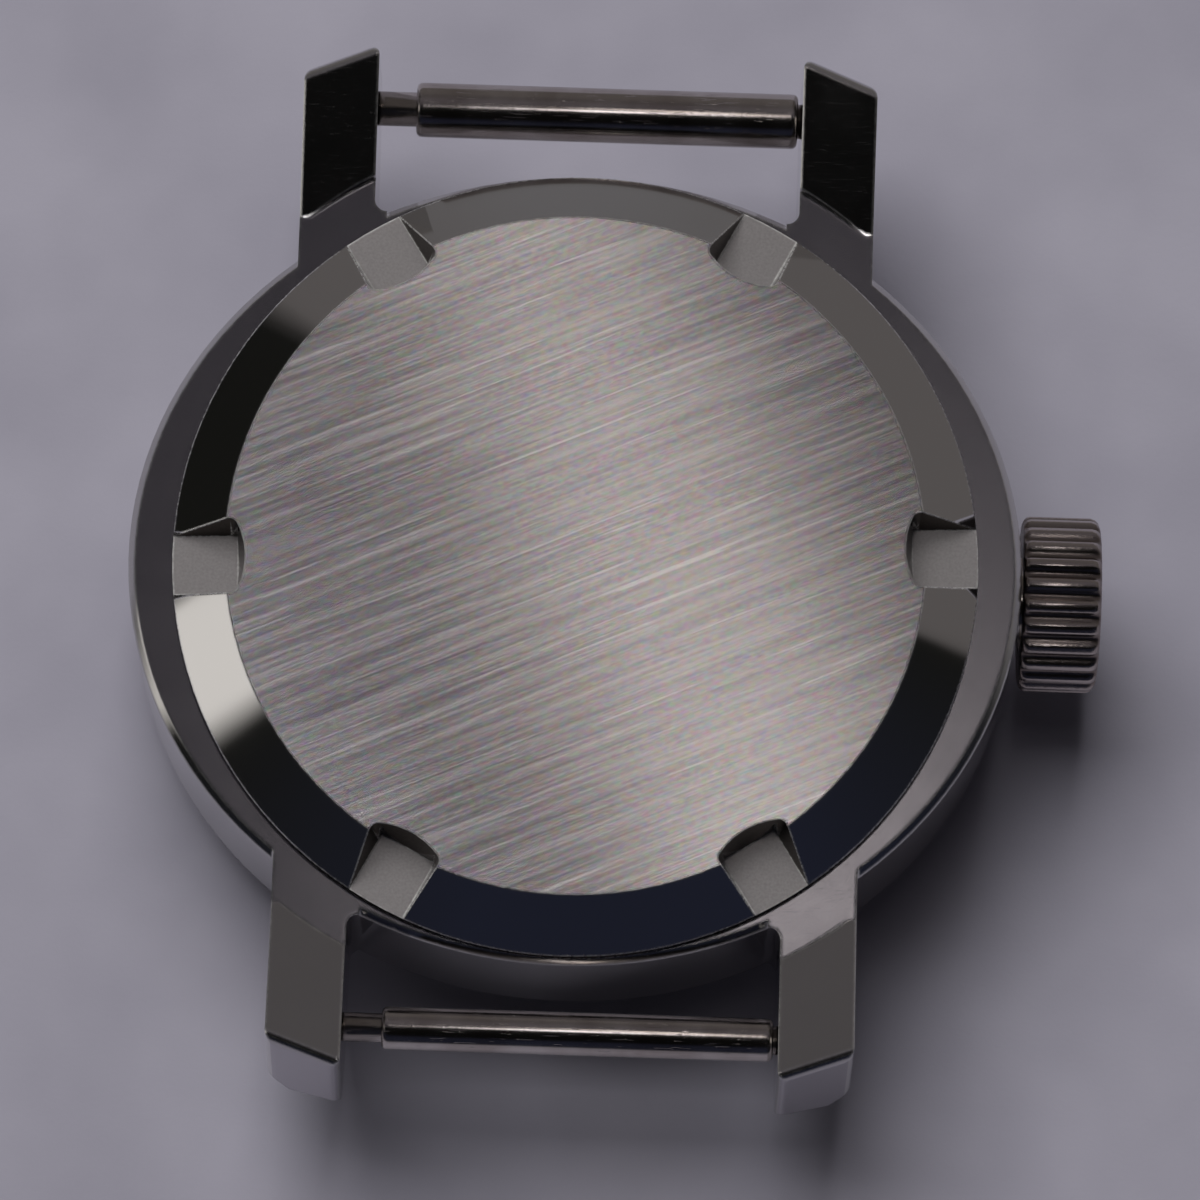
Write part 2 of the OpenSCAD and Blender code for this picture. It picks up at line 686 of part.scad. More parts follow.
module crown() {
    color(warm_steel) difference() {
        on_stem(crown_x) rotate_extrude($fn = facets) polygon([[0, 0], [crown_r - crown_bevel / 2, 0],
            [crown_r, crown_bevel / 2], [crown_r, crown_length - crown_bevel],
            [crown_r - crown_bevel, crown_length], [0, crown_length]]);
        stem_rod(crown_cavity_r, crown_x - cut, crown_cavity_end);
        stem_rod(stem_thread_r, crown_x, stem_end);
        for (i = [0:crown_flutes - 1]) translate([0, 0, stem_z]) rotate([i * 360 / crown_flutes, 0, 0])
            translate([crown_x - cut, 0, crown_r + flute_r * 0.15]) rotate([0, 90, 0])
                cylinder(r = flute_r, h = crown_length + 2 * cut, $fn = 24);
    }
}

crown_washer_length = 0.1;
crown_gasket_x = crown_x + crown_washer_length + layer_gap;
module crown_gasket() {
    color([0.15, 0.14, 0.13]) difference() {
        stem_rod(crown_cavity_r - seat_fit, crown_gasket_x, crown_gasket_x + crown_gasket_length);
        stem_rod(crown_tube_r + seat_fit, crown_gasket_x - cut, crown_gasket_x + crown_gasket_length + cut);
    }
}

module crown_washer() {
    color(brass) difference() {
        stem_rod(crown_cavity_r, crown_x, crown_x + crown_washer_length);
        stem_rod(crown_tube_r + run_fit, crown_x - cut, crown_x + cut);
    }
}

module winding_stem() {
    square_end = pinion_x - layer_gap;
    color(bright_steel) difference() {
        union() {
            stem_rod(pilot_r, pilot_x, square_x + seat_fit);
            translate([square_x, -stem_square / 2, stem_z - stem_square / 2])
                cube([square_end - square_x, stem_square, stem_square]);
            stem_rod(stem_r, square_end, case_bore_r - 0.5);
            stem_rod(stem_thread_r, case_bore_r - 0.55, stem_end);
        }
        difference() {
            stem_rod(stem_r + cut, groove_x, groove_x + groove_length);
            stem_rod(groove_r, groove_x - cut, groove_x + groove_length + cut);
        }
    }
}

// One strap bar lies along X between the lugs, nearer to the right lug
bar_left = lug_in - bar_right_gap - bar_tube_length;
pivot_tip = lug_in + lug_hole_depth - run_fit;
pivot_pin = pivot_tip + (bar_left + bar_lip);
function bar_bore(tube_r) = tube_r - bar_tube_wall;

// Places a shape that is drawn along +Z on a strap bar's axis
module on_bar(y, x) {
    translate([x, y, bar_z]) rotate([0, 90, 0]) children();
}

module bar_tube(y, tube_r, pin_r) {
    bevel = bar_tube_wall;
    inner_r = bar_bore(tube_r);
    lip_r = pin_r + run_fit;
    end = bar_tube_length;
    color(warm_steel) on_bar(y, bar_left) rotate_extrude($fn = facets) polygon([[lip_r, 0],
        [tube_r - bevel, 0], [tube_r, bevel], [tube_r, end - bevel], [tube_r - bevel, end], [lip_r, end],
        [lip_r, end - bar_lip], [inner_r, end - bar_lip], [inner_r, bar_lip], [lip_r, bar_lip]]);
}

// A pivot points to -X or, when mirrored, to +X. Its shoulder narrows towards the spring
module bar_pivot(y, tube_r, pin_r) {
    shoulder_r = bar_bore(tube_r) - run_fit;
    color(warm_steel) on_bar(y, -pivot_tip) {
        cylinder(r = pin_r, h = pivot_pin + seat_fit, $fn = facets);
        translate([0, 0, pivot_pin])
            cylinder(r1 = shoulder_r, r2 = shoulder_r - bar_shoulder_taper, h = bar_shoulder, $fn = facets);
    }
}

// A coil of round wire between the two pivots of a bar
module bar_spring(y, tube_r) {
    coil_r = bar_bore(tube_r) - run_fit - bar_wire_r - seat_fit;
    half = pivot_tip - pivot_pin - bar_shoulder - bar_wire_r - seat_fit;
    steps = 10 * bar_spring_turns;
    sides = 6;
    function wire(i, k) = let (a = 36 * i, r = coil_r + bar_wire_r * cos(60 * k))
        [-half + 2 * half * i / steps + bar_wire_r * sin(60 * k), y + r * cos(a), bar_z + r * sin(a)];
    points = [for (i = [0:steps], k = [0:sides - 1]) wire(i, k)];
    walls = [for (i = [0:steps - 1], k = [0:sides - 1], h = [0, 1]) let (a = i * sides + k,
        b = i * sides + (k + 1) % sides) h == 0 ? [a, b, a + sides] : [b, b + sides, a + sides]];
    start = [for (k = [1:sides - 2]) [0, k + 1, k]];
    last = steps * sides;
    finish = [for (k = [1:sides - 2]) [last, last + k, last + k + 1]];
    color(bright_steel) polyhedron(points = points, faces = concat(walls, start, finish));
}

module upper_bar_tube() {
    bar_tube(bar_reach, upper_tube_r, upper_pivot_r);
}

module upper_bar_left_pivot() {
    bar_pivot(bar_reach, upper_tube_r, upper_pivot_r);
}

module upper_bar_right_pivot() {
    mirror([1, 0, 0]) bar_pivot(bar_reach, upper_tube_r, upper_pivot_r);
}

module upper_bar_spring() {
    bar_spring(bar_reach, upper_tube_r);
}

module lower_bar_tube() {
    bar_tube(-bar_reach, lower_tube_r, lower_pivot_r);
}

module lower_bar_left_pivot() {
    bar_pivot(-bar_reach, lower_tube_r, lower_pivot_r);
}

module lower_bar_right_pivot() {
    mirror([1, 0, 0]) bar_pivot(-bar_reach, lower_tube_r, lower_pivot_r);
}

module lower_bar_spring() {
    bar_spring(-bar_reach, lower_tube_r);
}

clamp_slot_out = ring_in_r + 0.4;
module movement_ring() {
    color(gilt) difference() {
        ring(ring_out_r, ring_in_r, plate_z, ring_top);
        stem_rod(stem_r + 3 * run_fit, plate_r - cut, far);
        for (a = clamp_angles)
            ring_block(plate_r - cut, clamp_slot_out, a - 9, a + 9, clamp_z - seat_fit,
                clamp_z + clamp_thick + seat_fit);
    }
}

clamp_screw_r = plate_r - 0.6;
module casing_clamps() {
    color(bright_steel) for (a = clamp_angles) difference() {
        ring_block(clamp_screw_r - 0.5, clamp_slot_out - seat_fit, a - 5, a + 5, clamp_z,
            clamp_z + clamp_thick);
        at(polar(clamp_screw_r, a)) disc(screw_shank_r + seat_fit, clamp_z - cut, clamp_z + cut);
    }
}

// Places a shape at a point of the movement
module at(p) {
    translate([p[0], p[1], 0]) children();
}

module dial() {
    color([0.93, 0.92, 0.88]) ring(dial_r, dial_hole_r, dial_z, dial_z + dial_thick);
}

marker_out_r = ledge_r - 0.75;
marker_height = 0.1;
module hour_markers() {
    color(gilt) for (i = [0:11]) rotate([0, 0, i * 30])
        translate([marker_out_r - marker_length, -marker_width / 2, dial_z - marker_height])
            cube([marker_length, marker_width, marker_height]);
}

// A slim hand that points to -Y, with a short tail
module hand(length, hub_r, hole_r, width, z) {
    difference() {
        union() {
            disc(hub_r, z, z + hand_thick);
            translate([0, 0, z]) linear_extrude(height = hand_thick) polygon([[-width / 2, 0.25 * length],
                [width / 2, 0.25 * length], [width * 0.7, -0.2 * length], [0.06, -length], [-0.06, -length],
                [-width * 0.7, -0.2 * length]]);
        }
        disc(hole_r, z - cut, z + cut);
    }
}

module hour_hand() {
    color(gilt) hand(hour_hand_length, pipe_r + 0.2, pipe_r + 0.005, 0.5, hour_hand_z);
}

module minute_hand() {
    color(gilt) hand(minute_hand_length, cannon_r + 0.2, cannon_r + 0.005, 0.4, minute_hand_z);
}

// A bearing seat for a jewel, opening upwards or downwards
module jewel_seat(p, z0, z1) {
    at(p) {
        disc(jewel_r, z0, z1);
        disc(pivot_hole_r, z0 - far, z1 + far);
    }
}

lever_slot = 0.16;
lower_pivots = [third_pos, fourth_pos, escape_pos, pallet_pos, balance_pos];
module mainplate() {
    color(gilt) difference() {
        union() {
            disc(plate_r, plate_z, plate_top);
            intersection() {
                disc(plate_r, plate_z, stem_block_top);
                translate([stem_block_x, -stem_block_half, plate_top - seat_fit])
                    cube([far, 2 * stem_block_half, stem_block_top - plate_top + seat_fit]);
            }
            translate([pilot_x + crown_pull - pilot_block / 2, -pilot_block_half, plate_top - seat_fit])
                cube([pilot_block, 2 * pilot_block_half, stem_rise + pilot_r + 0.15]);
        }
        // Recesses for the motion work on the dial side
        disc(hour_module * hour_wheel_count / 2 + 0.2, plate_z - cut, recess_z);
        at([motion_at, 0])
            ring(motion_module * minute_wheel_count / 2 + 0.17, stud_r, plate_z - cut, recess_z);
        at([setting_at, 0])
            ring(motion_module * setting_count / 2 + 0.17, stud_r, plate_z - cut, recess_z);
        // Windows for the winding pinion and the clutch
        translate([pinion_x - layer_gap, -winding_pinion_r - 0.15, plate_z - cut])
            cube([pinion_length + 3 * layer_gap, 2 * winding_pinion_r + 0.3, far]);
        translate([square_x - 0.05, -clutch_r - 0.15, recess_z - 0.05])
            cube([pinion_x - square_x + 0.1, 2 * clutch_r + 0.3, far]);
        // Bearings of the stem
        stem_rod(stem_r + run_fit, stem_block_x - cut, far);
        stem_rod(pilot_r + run_fit, pilot_x - cut, pinion_x);
        // Room for the setting lever with its pin and for the yoke, each round its post
        difference() {
            lever_room();
            for (p = [lever_pos, yoke_pos]) at(p) disc(pivot_hole_r, setting_bridge_top, recess_z + cut);
        }
        translate([lever_pin_x - lever_slot, -lever_slot, recess_z - cut])
            cube([crown_pull + 2 * lever_slot, 2 * lever_slot, stem_z - recess_z + cut]);
        setting_bridge_blank(seat_fit);
        at(setting_screw_pos) disc(setting_shank_r, plate_z, recess_z);
        // Bearings of the train and the barrel
        disc(arbor_r + run_fit, plate_z - cut, plate_top + cut);
        at(barrel_pos) disc(barrel_arbor_r + run_fit, plate_top - 0.3, plate_top + cut);
        for (p = lower_pivots) jewel_seat(p, plate_top - jewel_height, plate_top + cut);
        // Holes of the screws
        for (a = clamp_angles) at(polar(clamp_screw_r, a))
            disc(screw_shank_r, plate_top - screw_depth, plate_top + cut);
    }
}

// Room in the mainplate in which the setting lever and the yoke swing
module lever_room() {
    translate([0, 0, plate_z - cut]) linear_extrude(height = recess_z - plate_z + cut) {
        polygon([lever_pos - [0.37, 0], lever_pos + [0.37, 0], [lever_pin_x + crown_pull + 0.26, 0],
            [lever_pin_x + crown_pull + 0.26, 0.26], [lever_pin_x - 0.26, 0.26], [lever_pin_x - 0.26, 0]]);
        polygon([yoke_pos - [0.35, 0], yoke_pos + [0.35, 0], [clutch_groove_x + 0.27, yoke_finger_y + 0.25],
            [clutch_groove_x - clutch_travel - 0.27, yoke_finger_y + 0.25]]);
        translate(lever_pos) circle(r = 0.38, $fn = facets);
        translate(yoke_pos) circle(r = 0.36, $fn = facets);
    }
}

// Outline of the thin bridge over the posts of the lever and the yoke
module setting_bridge_blank(fit) {
    link(yoke_pos, lever_pos, 0.66 + 2 * fit, plate_z - fit, setting_bridge_top);
}

module setting_bridge() {
    color(bright_steel) difference() {
        setting_bridge_blank(0);
        at(setting_screw_pos) {
            disc(setting_shank_r + seat_fit, plate_z - cut, plate_z + cut);
            disc(setting_head_r + seat_fit, plate_z - cut, plate_z + setting_head);
        }
    }
}

drum_r = 3.4;
drum_inner_r = drum_r - barrel_wall;
drum_floor = barrel_z + 0.1;
drum_lid = barrel_top - 0.12;
barrel_phase = 0;
module barrel_drum() {
    color(brass) at(barrel_pos) difference() {
        union() {
            gear(barrel_teeth_count, train_module, barrel_z, barrel_z + barrel_teeth, barrel_phase);
            disc(drum_r, barrel_z, barrel_top);
        }
        disc(drum_inner_r, drum_floor, drum_lid);
        disc(barrel_arbor_r + run_fit, barrel_z - cut, barrel_top + cut);
    }
}

hub_r = 0.8;
arbor_square = 0.46;
module barrel_arbor() {
    color(bright_steel) at(barrel_pos) difference() {
        union() {
            disc(barrel_arbor_r, plate_top - 0.25, barrel_bridge_top);
            disc(hub_r, drum_floor + layer_gap, drum_lid - layer_gap);
            translate([-arbor_square / 2, -arbor_square / 2, barrel_bridge_top - seat_fit])
                cube([arbor_square, arbor_square, winding_top - barrel_bridge_top]);
        }
        disc(pivot_hole_r + seat_fit, barrel_top, winding_top + cut);
    }
}

module mainspring() {
    color(bright_steel) at(barrel_pos)
        spiral_strip(hub_r + mainspring_thick, drum_inner_r - mainspring_thick, mainspring_turns,
            mainspring_thick, drum_floor + layer_gap, drum_lid - layer_gap);
}

ratchet_phase = 0;
module ratchet_wheel() {
    hole = arbor_square + seat_fit;
    color(bright_steel) at(barrel_pos) difference() {
        gear(ratchet_count, winding_module, winding_z, winding_top, ratchet_phase);
        translate([-hole / 2, -hole / 2, winding_z - cut]) cube([hole, hole, far]);
    }
}

// A cheese-head screw with a slot
module screw(head_r, head, shank_r, shank, z) {
    difference() {
        disc(head_r, z, z + head);
        translate([-head_r - cut, -0.06, z + head / 2]) cube([2 * (head_r + cut), 0.12, head]);
    }
    disc(shank_r, z - shank, z + seat_fit);
}

module ratchet_screw() {
    color(blued) at(barrel_pos) screw(0.5, 0.16, pivot_hole_r, 0.4, winding_top);
}

bridge_cut_r = winding_pinion_r + 0.2;
module barrel_bridge() {
    pinion_side = pinion_x - 0.1;
    color(gilt) difference() {
        union() {
            intersection() {
                disc(bridge_r, barrel_bridge_z, barrel_bridge_top);
                translate([0, 0, barrel_bridge_z]) linear_extrude(height = barrel_bridge_thick)
                    polygon([[-5.8, past_plate], [-4.6, 5.7], [-1.4, 1.3], [2.4, 1.1], [3.1, -1.5],
                        [pinion_side, -1.5], [pinion_side, bridge_cut_r], [past_plate, 1.9],
                        [past_plate, past_plate]]);
            }
            for (a = barrel_screw_angles)
                ring_block(foot_in, foot_out, a - 6.5, a + 6.5, plate_top, barrel_bridge_z + seat_fit);
        }
        at(barrel_pos) disc(barrel_arbor_r + run_fit, barrel_top, winding_z);
        at([crown_wheel_x, 0]) disc(crown_core_shank + seat_fit, barrel_top, winding_z);
        at(click_pos) disc(pivot_hole_r, barrel_top, winding_z);
        for (a = barrel_screw_angles) at(polar(screw_ring_r, a))
            disc(screw_shank_r + seat_fit, barrel_bridge_top - screw_depth - seat_fit, winding_z);
    }
}

crown_core_r = 0.55;
crown_core_shank = 0.25;
module crown_wheel() {
    color(bright_steel) at([crown_wheel_x, 0]) difference() {
        gear(crown_wheel_count, winding_module, winding_z, winding_top,
            meshed(ratchet_phase, crown_wheel_angle, ratchet_count, crown_wheel_count));
        disc(crown_core_r + run_fit, winding_z - cut, winding_top + cut);
    }
}

click_thick = 0.16;
click_z = barrel_bridge_top + seat_fit;
module click() {
    color(bright_steel) difference() {
        union() {
            link(click_pos, click_tip, 0.26, click_z, click_z + click_thick);
            at(click_pos) disc(0.32, click_z, click_z + click_thick);
        }
        at(click_pos) disc(pivot_hole_r + run_fit, click_z - cut, click_z + cut);
    }
}

module click_spring() {
    rest = click_tip + [-0.26, 0.12];
    foot = rest + [-0.35, 1.25];
    color(bright_steel) {
        link(foot, rest, 0.1, click_z, click_z + 0.1);
        at(foot) disc(0.2, barrel_bridge_top, click_z + 0.1);
    }
}

upper_pivots = [third_pos, fourth_pos, escape_pos];
module train_bridge() {
    color(gilt) difference() {
        union() {
            intersection() {
                disc(bridge_r, train_bridge_z, barrel_top);
                translate([0, 0, train_bridge_z]) linear_extrude(height = train_bridge_thick)
                    polygon([[0.75, -1], [0.75, 0.6], [-1.6, 1.2], [-4, 5.4], [-past_plate, 5.4],
                        [-past_plate, -past_plate], [-1.6, -past_plate]]);
            }
            ring_block(foot_in, foot_out, train_screw_angles[0] - 15, train_screw_angles[1] + 9,
                plate_top, train_bridge_z + seat_fit);
        }
        at(barrel_pos) disc(train_module * barrel_teeth_count / 2 + 0.2, plate_top, far);
        at(balance_pos) disc(balance_r + 0.25, plate_top, far);
        disc(arbor_r - 0.08, train_bridge_z - cut, far);
        for (p = upper_pivots) jewel_seat(p, train_bridge_z - cut, train_bridge_z + jewel_height);
        for (a = train_screw_angles) at(polar(screw_ring_r, a))
            disc(screw_shank_r + seat_fit, barrel_top - screw_depth - seat_fit, far);
    }
}

center_phase = 0;
module center_wheel() {
    pinion_phase = meshed(barrel_phase, barrel_angle + 180, barrel_teeth_count, center_pinion_count);
    color(brass) {
        difference() {
            gear(center_wheel_count, train_module, center_wheel_z, center_wheel_z + wheel_thick,
                center_phase);
            arm_windows(5, 0.35, 0.8, center_pitch_r - 0.4, center_wheel_z - cut, center_wheel_z + cut);
        }
        gear(center_pinion_count, train_module, center_wheel_z, barrel_z + barrel_teeth + layer_gap,
            pinion_phase);
        disc(arbor_r, minute_hand_z, train_bridge_z - layer_gap);
        disc(arbor_r - 0.1, train_bridge_z - 2 * layer_gap, barrel_top - 0.02);
    }
}

third_pinion_phase = meshed(center_phase, third_angle, center_wheel_count, third_pinion_count);
third_phase = 0;
fourth_pinion_phase = meshed(third_phase, fourth_angle, third_wheel_count, fourth_pinion_count);
fourth_phase = 0;
escape_pinion_phase = meshed(fourth_phase, escape_angle, fourth_wheel_count, escape_pinion_count);

// Arbor of a train wheel with its two pivots
module train_arbor() {
    disc(train_arbor_r, plate_top + seat_fit, train_bridge_z - seat_fit);
    disc(pivot_r, plate_pivot_z, train_bridge_z + 0.12);
}

module third_wheel() {
    top = third_wheel_z + third_wheel_thick;
    rim_in = third_module * third_wheel_count / 2 - 0.35;
    color(brass) at(third_pos) {
        difference() {
            gear(third_wheel_count, third_module, third_wheel_z, top, third_phase);
            arm_windows(5, 0.3, 0.55, rim_in, third_wheel_z - cut, top + cut);
        }
        gear(third_pinion_count, train_module, center_wheel_z - 0.02, center_wheel_z + wheel_thick + 0.05,
            third_pinion_phase);
        train_arbor();
    }
}

module fourth_wheel() {
    top = fourth_wheel_z + thin_wheel;
    rim_in = fourth_module * fourth_wheel_count / 2 - 0.3;
    color(brass) at(fourth_pos) {
        difference() {
            gear(fourth_wheel_count, fourth_module, fourth_wheel_z, top, fourth_phase);
            arm_windows(5, 0.28, 0.5, rim_in, fourth_wheel_z - cut, top + cut);
        }
        gear(fourth_pinion_count, third_module, top + layer_gap,
            third_wheel_z + third_wheel_thick + layer_gap, fourth_pinion_phase);
        train_arbor();
    }
}

escape_turn = 6;
module escape_wheel() {
    step = 360 / escape_count;
    root = escape_r - 0.38;
    color(bright_steel) at(escape_pos) {
        difference() {
            translate([0, 0, escape_wheel_z]) rotate([0, 0, escape_turn]) linear_extrude(height = thin_wheel)
                polygon([for (i = [0:escape_count - 1], k = [0:2])
                    polar(k == 1 ? escape_r : root, step * i + [0, 4, 9][k])]);
            arm_windows(4, 0.22, 0.35, root - 0.2, escape_wheel_z - cut, escape_wheel_top + cut);
        }
        gear(escape_pinion_count, fourth_module, fourth_wheel_z - layer_gap,
            fourth_wheel_z + thin_wheel + layer_gap, escape_pinion_phase);
        train_arbor();
    }
}

fork_angle = atan2(balance_pos[1] - pallet_pos[1], balance_pos[0] - pallet_pos[0]);
roller_pin_at = 0.42;
fork_reach = norm(balance_pos - pallet_pos) - roller_pin_at;
stone_spread = 30;
module pallet_fork() {
    to_wheel = atan2(escape_pos[1] - pallet_pos[1], escape_pos[0] - pallet_pos[0]);
    reach = norm(escape_pos - pallet_pos);
    arm = sqrt(reach * reach + pow(escape_r + 0.16, 2) - 2 * reach * (escape_r + 0.16) * cos(stone_spread));
    tilt = asin((escape_r + 0.16) * sin(stone_spread) / arm);
    color(bright_steel) at(pallet_pos) {
        for (side = [-1, 1])
            link([0, 0], polar(arm, to_wheel + side * tilt), 0.18, escape_wheel_z, escape_wheel_top);
        difference() {
            link([0, 0], polar(fork_reach - 0.05, fork_angle), 0.36, escape_wheel_z, escape_wheel_top);
            rotate([0, 0, fork_angle]) translate([fork_reach - 0.18, -0.11, escape_wheel_z - cut])
                cube([cut, 0.22, 2 * cut]);
        }
        disc(train_arbor_r, plate_top + seat_fit, pallet_bridge_z - seat_fit);
        disc(pivot_r, plate_pivot_z, pallet_bridge_z + pallet_bridge_thick - 0.03);
    }
}

module pallet_bridge() {
    color(gilt) difference() {
        union() {
            link(pallet_pos, pallet_foot, 0.8, pallet_bridge_z, pallet_bridge_z + pallet_bridge_thick);
            at(pallet_foot) disc(pallet_foot_r, plate_top, pallet_bridge_z + seat_fit);
        }
        at(pallet_pos) disc(jewel_bore_r, pallet_bridge_z - cut, pallet_bridge_z + cut);
        at(pallet_foot) {
            disc(screw_shank_r + seat_fit, plate_top - cut, far);
            disc(pallet_foot_r - 0.12, pallet_bridge_z + pallet_bridge_thick / 2, far);
        }
    }
}

collet_r = 0.35;
staff_r = 0.12;
module balance_wheel() {
    rim_in = balance_r - balance_rim;
    color(gilt) at(balance_pos) {
        ring(balance_r, rim_in, balance_z, balance_top);
        for (a = [20, 200]) rotate([0, 0, a]) translate([0, -0.22, balance_z])
            cube([rim_in + 0.05, 0.44, 0.12]);
        disc(0.45, balance_z, balance_z + 0.16);
        disc(collet_r, balance_z, balance_top + 0.12);
        disc(staff_r, plate_top + seat_fit, cock_z - seat_fit);
        disc(pivot_r, plate_pivot_z, cock_z + 0.1);
        disc(0.55, roller_z, roller_z + roller_thick);
        rotate([0, 0, fork_angle + 180]) translate([roller_pin_at, 0, 0])
            disc(0.07, escape_wheel_z - 0.03, roller_z + 0.02);
    }
}

hairspring_z = balance_top + 0.01;
hairspring_r = 1.5;
hairspring_height = 0.1;
module hairspring() {
    color(blued) at(balance_pos) spiral_strip(collet_r + 0.03, hairspring_r, hairspring_turns, 0.04,
        hairspring_z, hairspring_z + hairspring_height);
}

regulator_r = 0.44;
regulator_thick = 0.1;
module balance_cock() {
    stud = balance_pos + [hairspring_r + 0.13, 0];
    color(gilt) difference() {
        union() {
            link(balance_pos, cock_foot, 1.5, cock_z, cock_top);
            at(cock_foot) disc(cock_foot_r, plate_top, cock_top);
            at(balance_pos) disc(regulator_r - run_fit, cock_top - seat_fit, cock_top + regulator_thick);
            at(stud) disc(0.1, hairspring_z, cock_z + seat_fit);
        }
        jewel_seat(balance_pos, cock_z - cut, cock_z + jewel_height);
        at(cock_foot) disc(screw_shank_r + seat_fit, cock_top - screw_depth - seat_fit, far);
    }
}

module regulator() {
    z0 = cock_top + seat_fit;
    z1 = cock_top + regulator_thick;
    color(bright_steel) at(balance_pos) difference() {
        union() {
            disc(0.75, z0, z1);
            rotate([0, 0, 150]) link([0.5, 0], [2, 0], 0.2, z0, z1);
        }
        disc(regulator_r, z0 - cut, z1 + cut);
    }
}

module winding_pinion() {
    color(bright_steel) difference() {
        on_stem(pinion_x) linear_extrude(height = pinion_length)
            gear_outline(winding_pinion_count, winding_module * 0.94);
        stem_rod(stem_r + run_fit, pinion_x - cut, pinion_x + cut);
    }
}

module clutch_wheel() {
    hole = stem_square + 2 * seat_fit;
    teeth = 0.12;
    color(bright_steel) difference() {
        union() {
            stem_rod(clutch_groove_r, clutch_x, clutch_x + clutch_length);
            stem_rod(clutch_r, clutch_x + teeth, clutch_groove_x - clutch_groove / 2);
            stem_rod(clutch_r, clutch_groove_x + clutch_groove / 2, clutch_x + clutch_length);
            on_stem(clutch_x) linear_extrude(height = teeth + seat_fit)
                gear_outline(14, 2 * clutch_r / 16);
        }
        translate([clutch_x - cut, -hole / 2, stem_z - hole / 2]) cube([far, hole, hole]);
    }
}

module setting_lever() {
    color(bright_steel) difference() {
        union() {
            link(lever_pos, [lever_pin_x, 0], 0.4, lever_z, lever_z + lever_thick);
            at(lever_pos) disc(0.32, lever_z, lever_z + lever_thick);
            at([lever_pin_x, 0]) disc(0.1, lever_z, stem_z - groove_r - 0.08);
        }
        at(lever_pos) disc(pivot_hole_r + run_fit, lever_z - cut, lever_z + cut);
    }
}

module yoke() {
    finger = [clutch_groove_x, yoke_finger_y];
    color(bright_steel) difference() {
        union() {
            link(yoke_pos, finger - [0, 0.1], 0.34, lever_z, lever_z + lever_thick);
            at(yoke_pos) disc(0.3, lever_z, lever_z + lever_thick);
            at(finger) translate([-0.06, -0.07, lever_z]) cube([0.12, 0.14, stem_z + 0.05 - lever_z]);
        }
        at(yoke_pos) disc(pivot_hole_r + run_fit, lever_z - cut, lever_z + cut);
    }
}

minute_phase = meshed(0, 0, cannon_count, minute_wheel_count);
module setting_wheel() {
    color(brass) at([setting_at, 0]) difference() {
        gear(setting_count, motion_module, minute_wheel_z, minute_wheel_z + minute_wheel_thick,
            meshed(minute_phase, 0, minute_wheel_count, setting_count));
        disc(stud_r + run_fit, minute_wheel_z - cut, minute_wheel_z + cut);
    }
}

module minute_wheel() {
    color(brass) at([motion_at, 0]) difference() {
        union() {
            gear(minute_wheel_count, motion_module, minute_wheel_z, minute_wheel_z + minute_wheel_thick,
                minute_phase);
            gear(minute_pinion_count, hour_module, hour_wheel_z, minute_wheel_z + seat_fit);
        }
        disc(stud_r + run_fit, hour_wheel_z - cut, minute_wheel_z + cut);
    }
}

module cannon_pinion() {
    color(bright_steel) difference() {
        union() {
            gear(cannon_count, motion_module, minute_wheel_z - 0.04, recess_z - 0.02);
            disc(cannon_r, minute_hand_z, minute_wheel_z);
        }
        disc(cannon_bore_r, minute_hand_z - cut, recess_z + cut);
    }
}

module hour_wheel() {
    color(brass) difference() {
        union() {
            gear(hour_wheel_count, hour_module, hour_wheel_z, hour_wheel_z + hour_wheel_thick,
                meshed(0, 180, minute_pinion_count, hour_wheel_count));
            disc(pipe_r, hour_hand_z, hour_wheel_z + seat_fit);
        }
        disc(pipe_bore_r, hour_hand_z - cut, hour_wheel_z + cut);
    }
}

module movement_screws() {
    color(blued) {
        for (a = clamp_angles) at(polar(clamp_screw_r, a))
            screw(screw_head_r, screw_head, screw_shank_r - seat_fit / 2, screw_depth, clamp_z + clamp_thick);
        for (a = train_screw_angles) at(polar(screw_ring_r, a))
            screw(screw_head_r, screw_head, screw_shank_r, screw_depth, barrel_top);
        for (a = barrel_screw_angles) at(polar(screw_ring_r, a))
            screw(screw_head_r, screw_head, screw_shank_r, screw_depth, barrel_bridge_top);
        at(cock_foot) screw(screw_head_r, screw_head, screw_shank_r, screw_depth, cock_top);
        at(pallet_foot) screw(pallet_foot_r - 0.14, pallet_bridge_thick / 2, screw_shank_r,
            pallet_bridge_z - plate_top, pallet_bridge_z + pallet_bridge_thick / 2);
        at(setting_screw_pos) difference() {
            union() {
                disc(setting_head_r, plate_z, plate_z + setting_head);
                disc(setting_shank_r, plate_z, recess_z);
            }
            translate([-cut, -0.04, plate_z - cut]) cube([2 * cut, 0.08, cut + 0.02]);
        }
        at([crown_wheel_x, 0]) {
            screw(crown_core_r + 0.35, 0.12, crown_core_r, winding_top - barrel_bridge_top + seat_fit,
                winding_top + seat_fit);
            disc(crown_core_shank, barrel_bridge_z, winding_z);
        }
        at(click_pos) screw(0.26, 0.12, pivot_hole_r - seat_fit / 2, 0.4, click_z + click_thick + seat_fit);
    }
}

module jewels() {
    color(ruby) {
        for (p = lower_pivots) at(p) ring(jewel_r, jewel_bore_r, plate_top - jewel_height, plate_top);
        for (p = upper_pivots) at(p)
            ring(jewel_r, jewel_bore_r, train_bridge_z, train_bridge_z + jewel_height);
        at(balance_pos) ring(jewel_r, jewel_bore_r, cock_z, cock_z + jewel_height);
    }
}

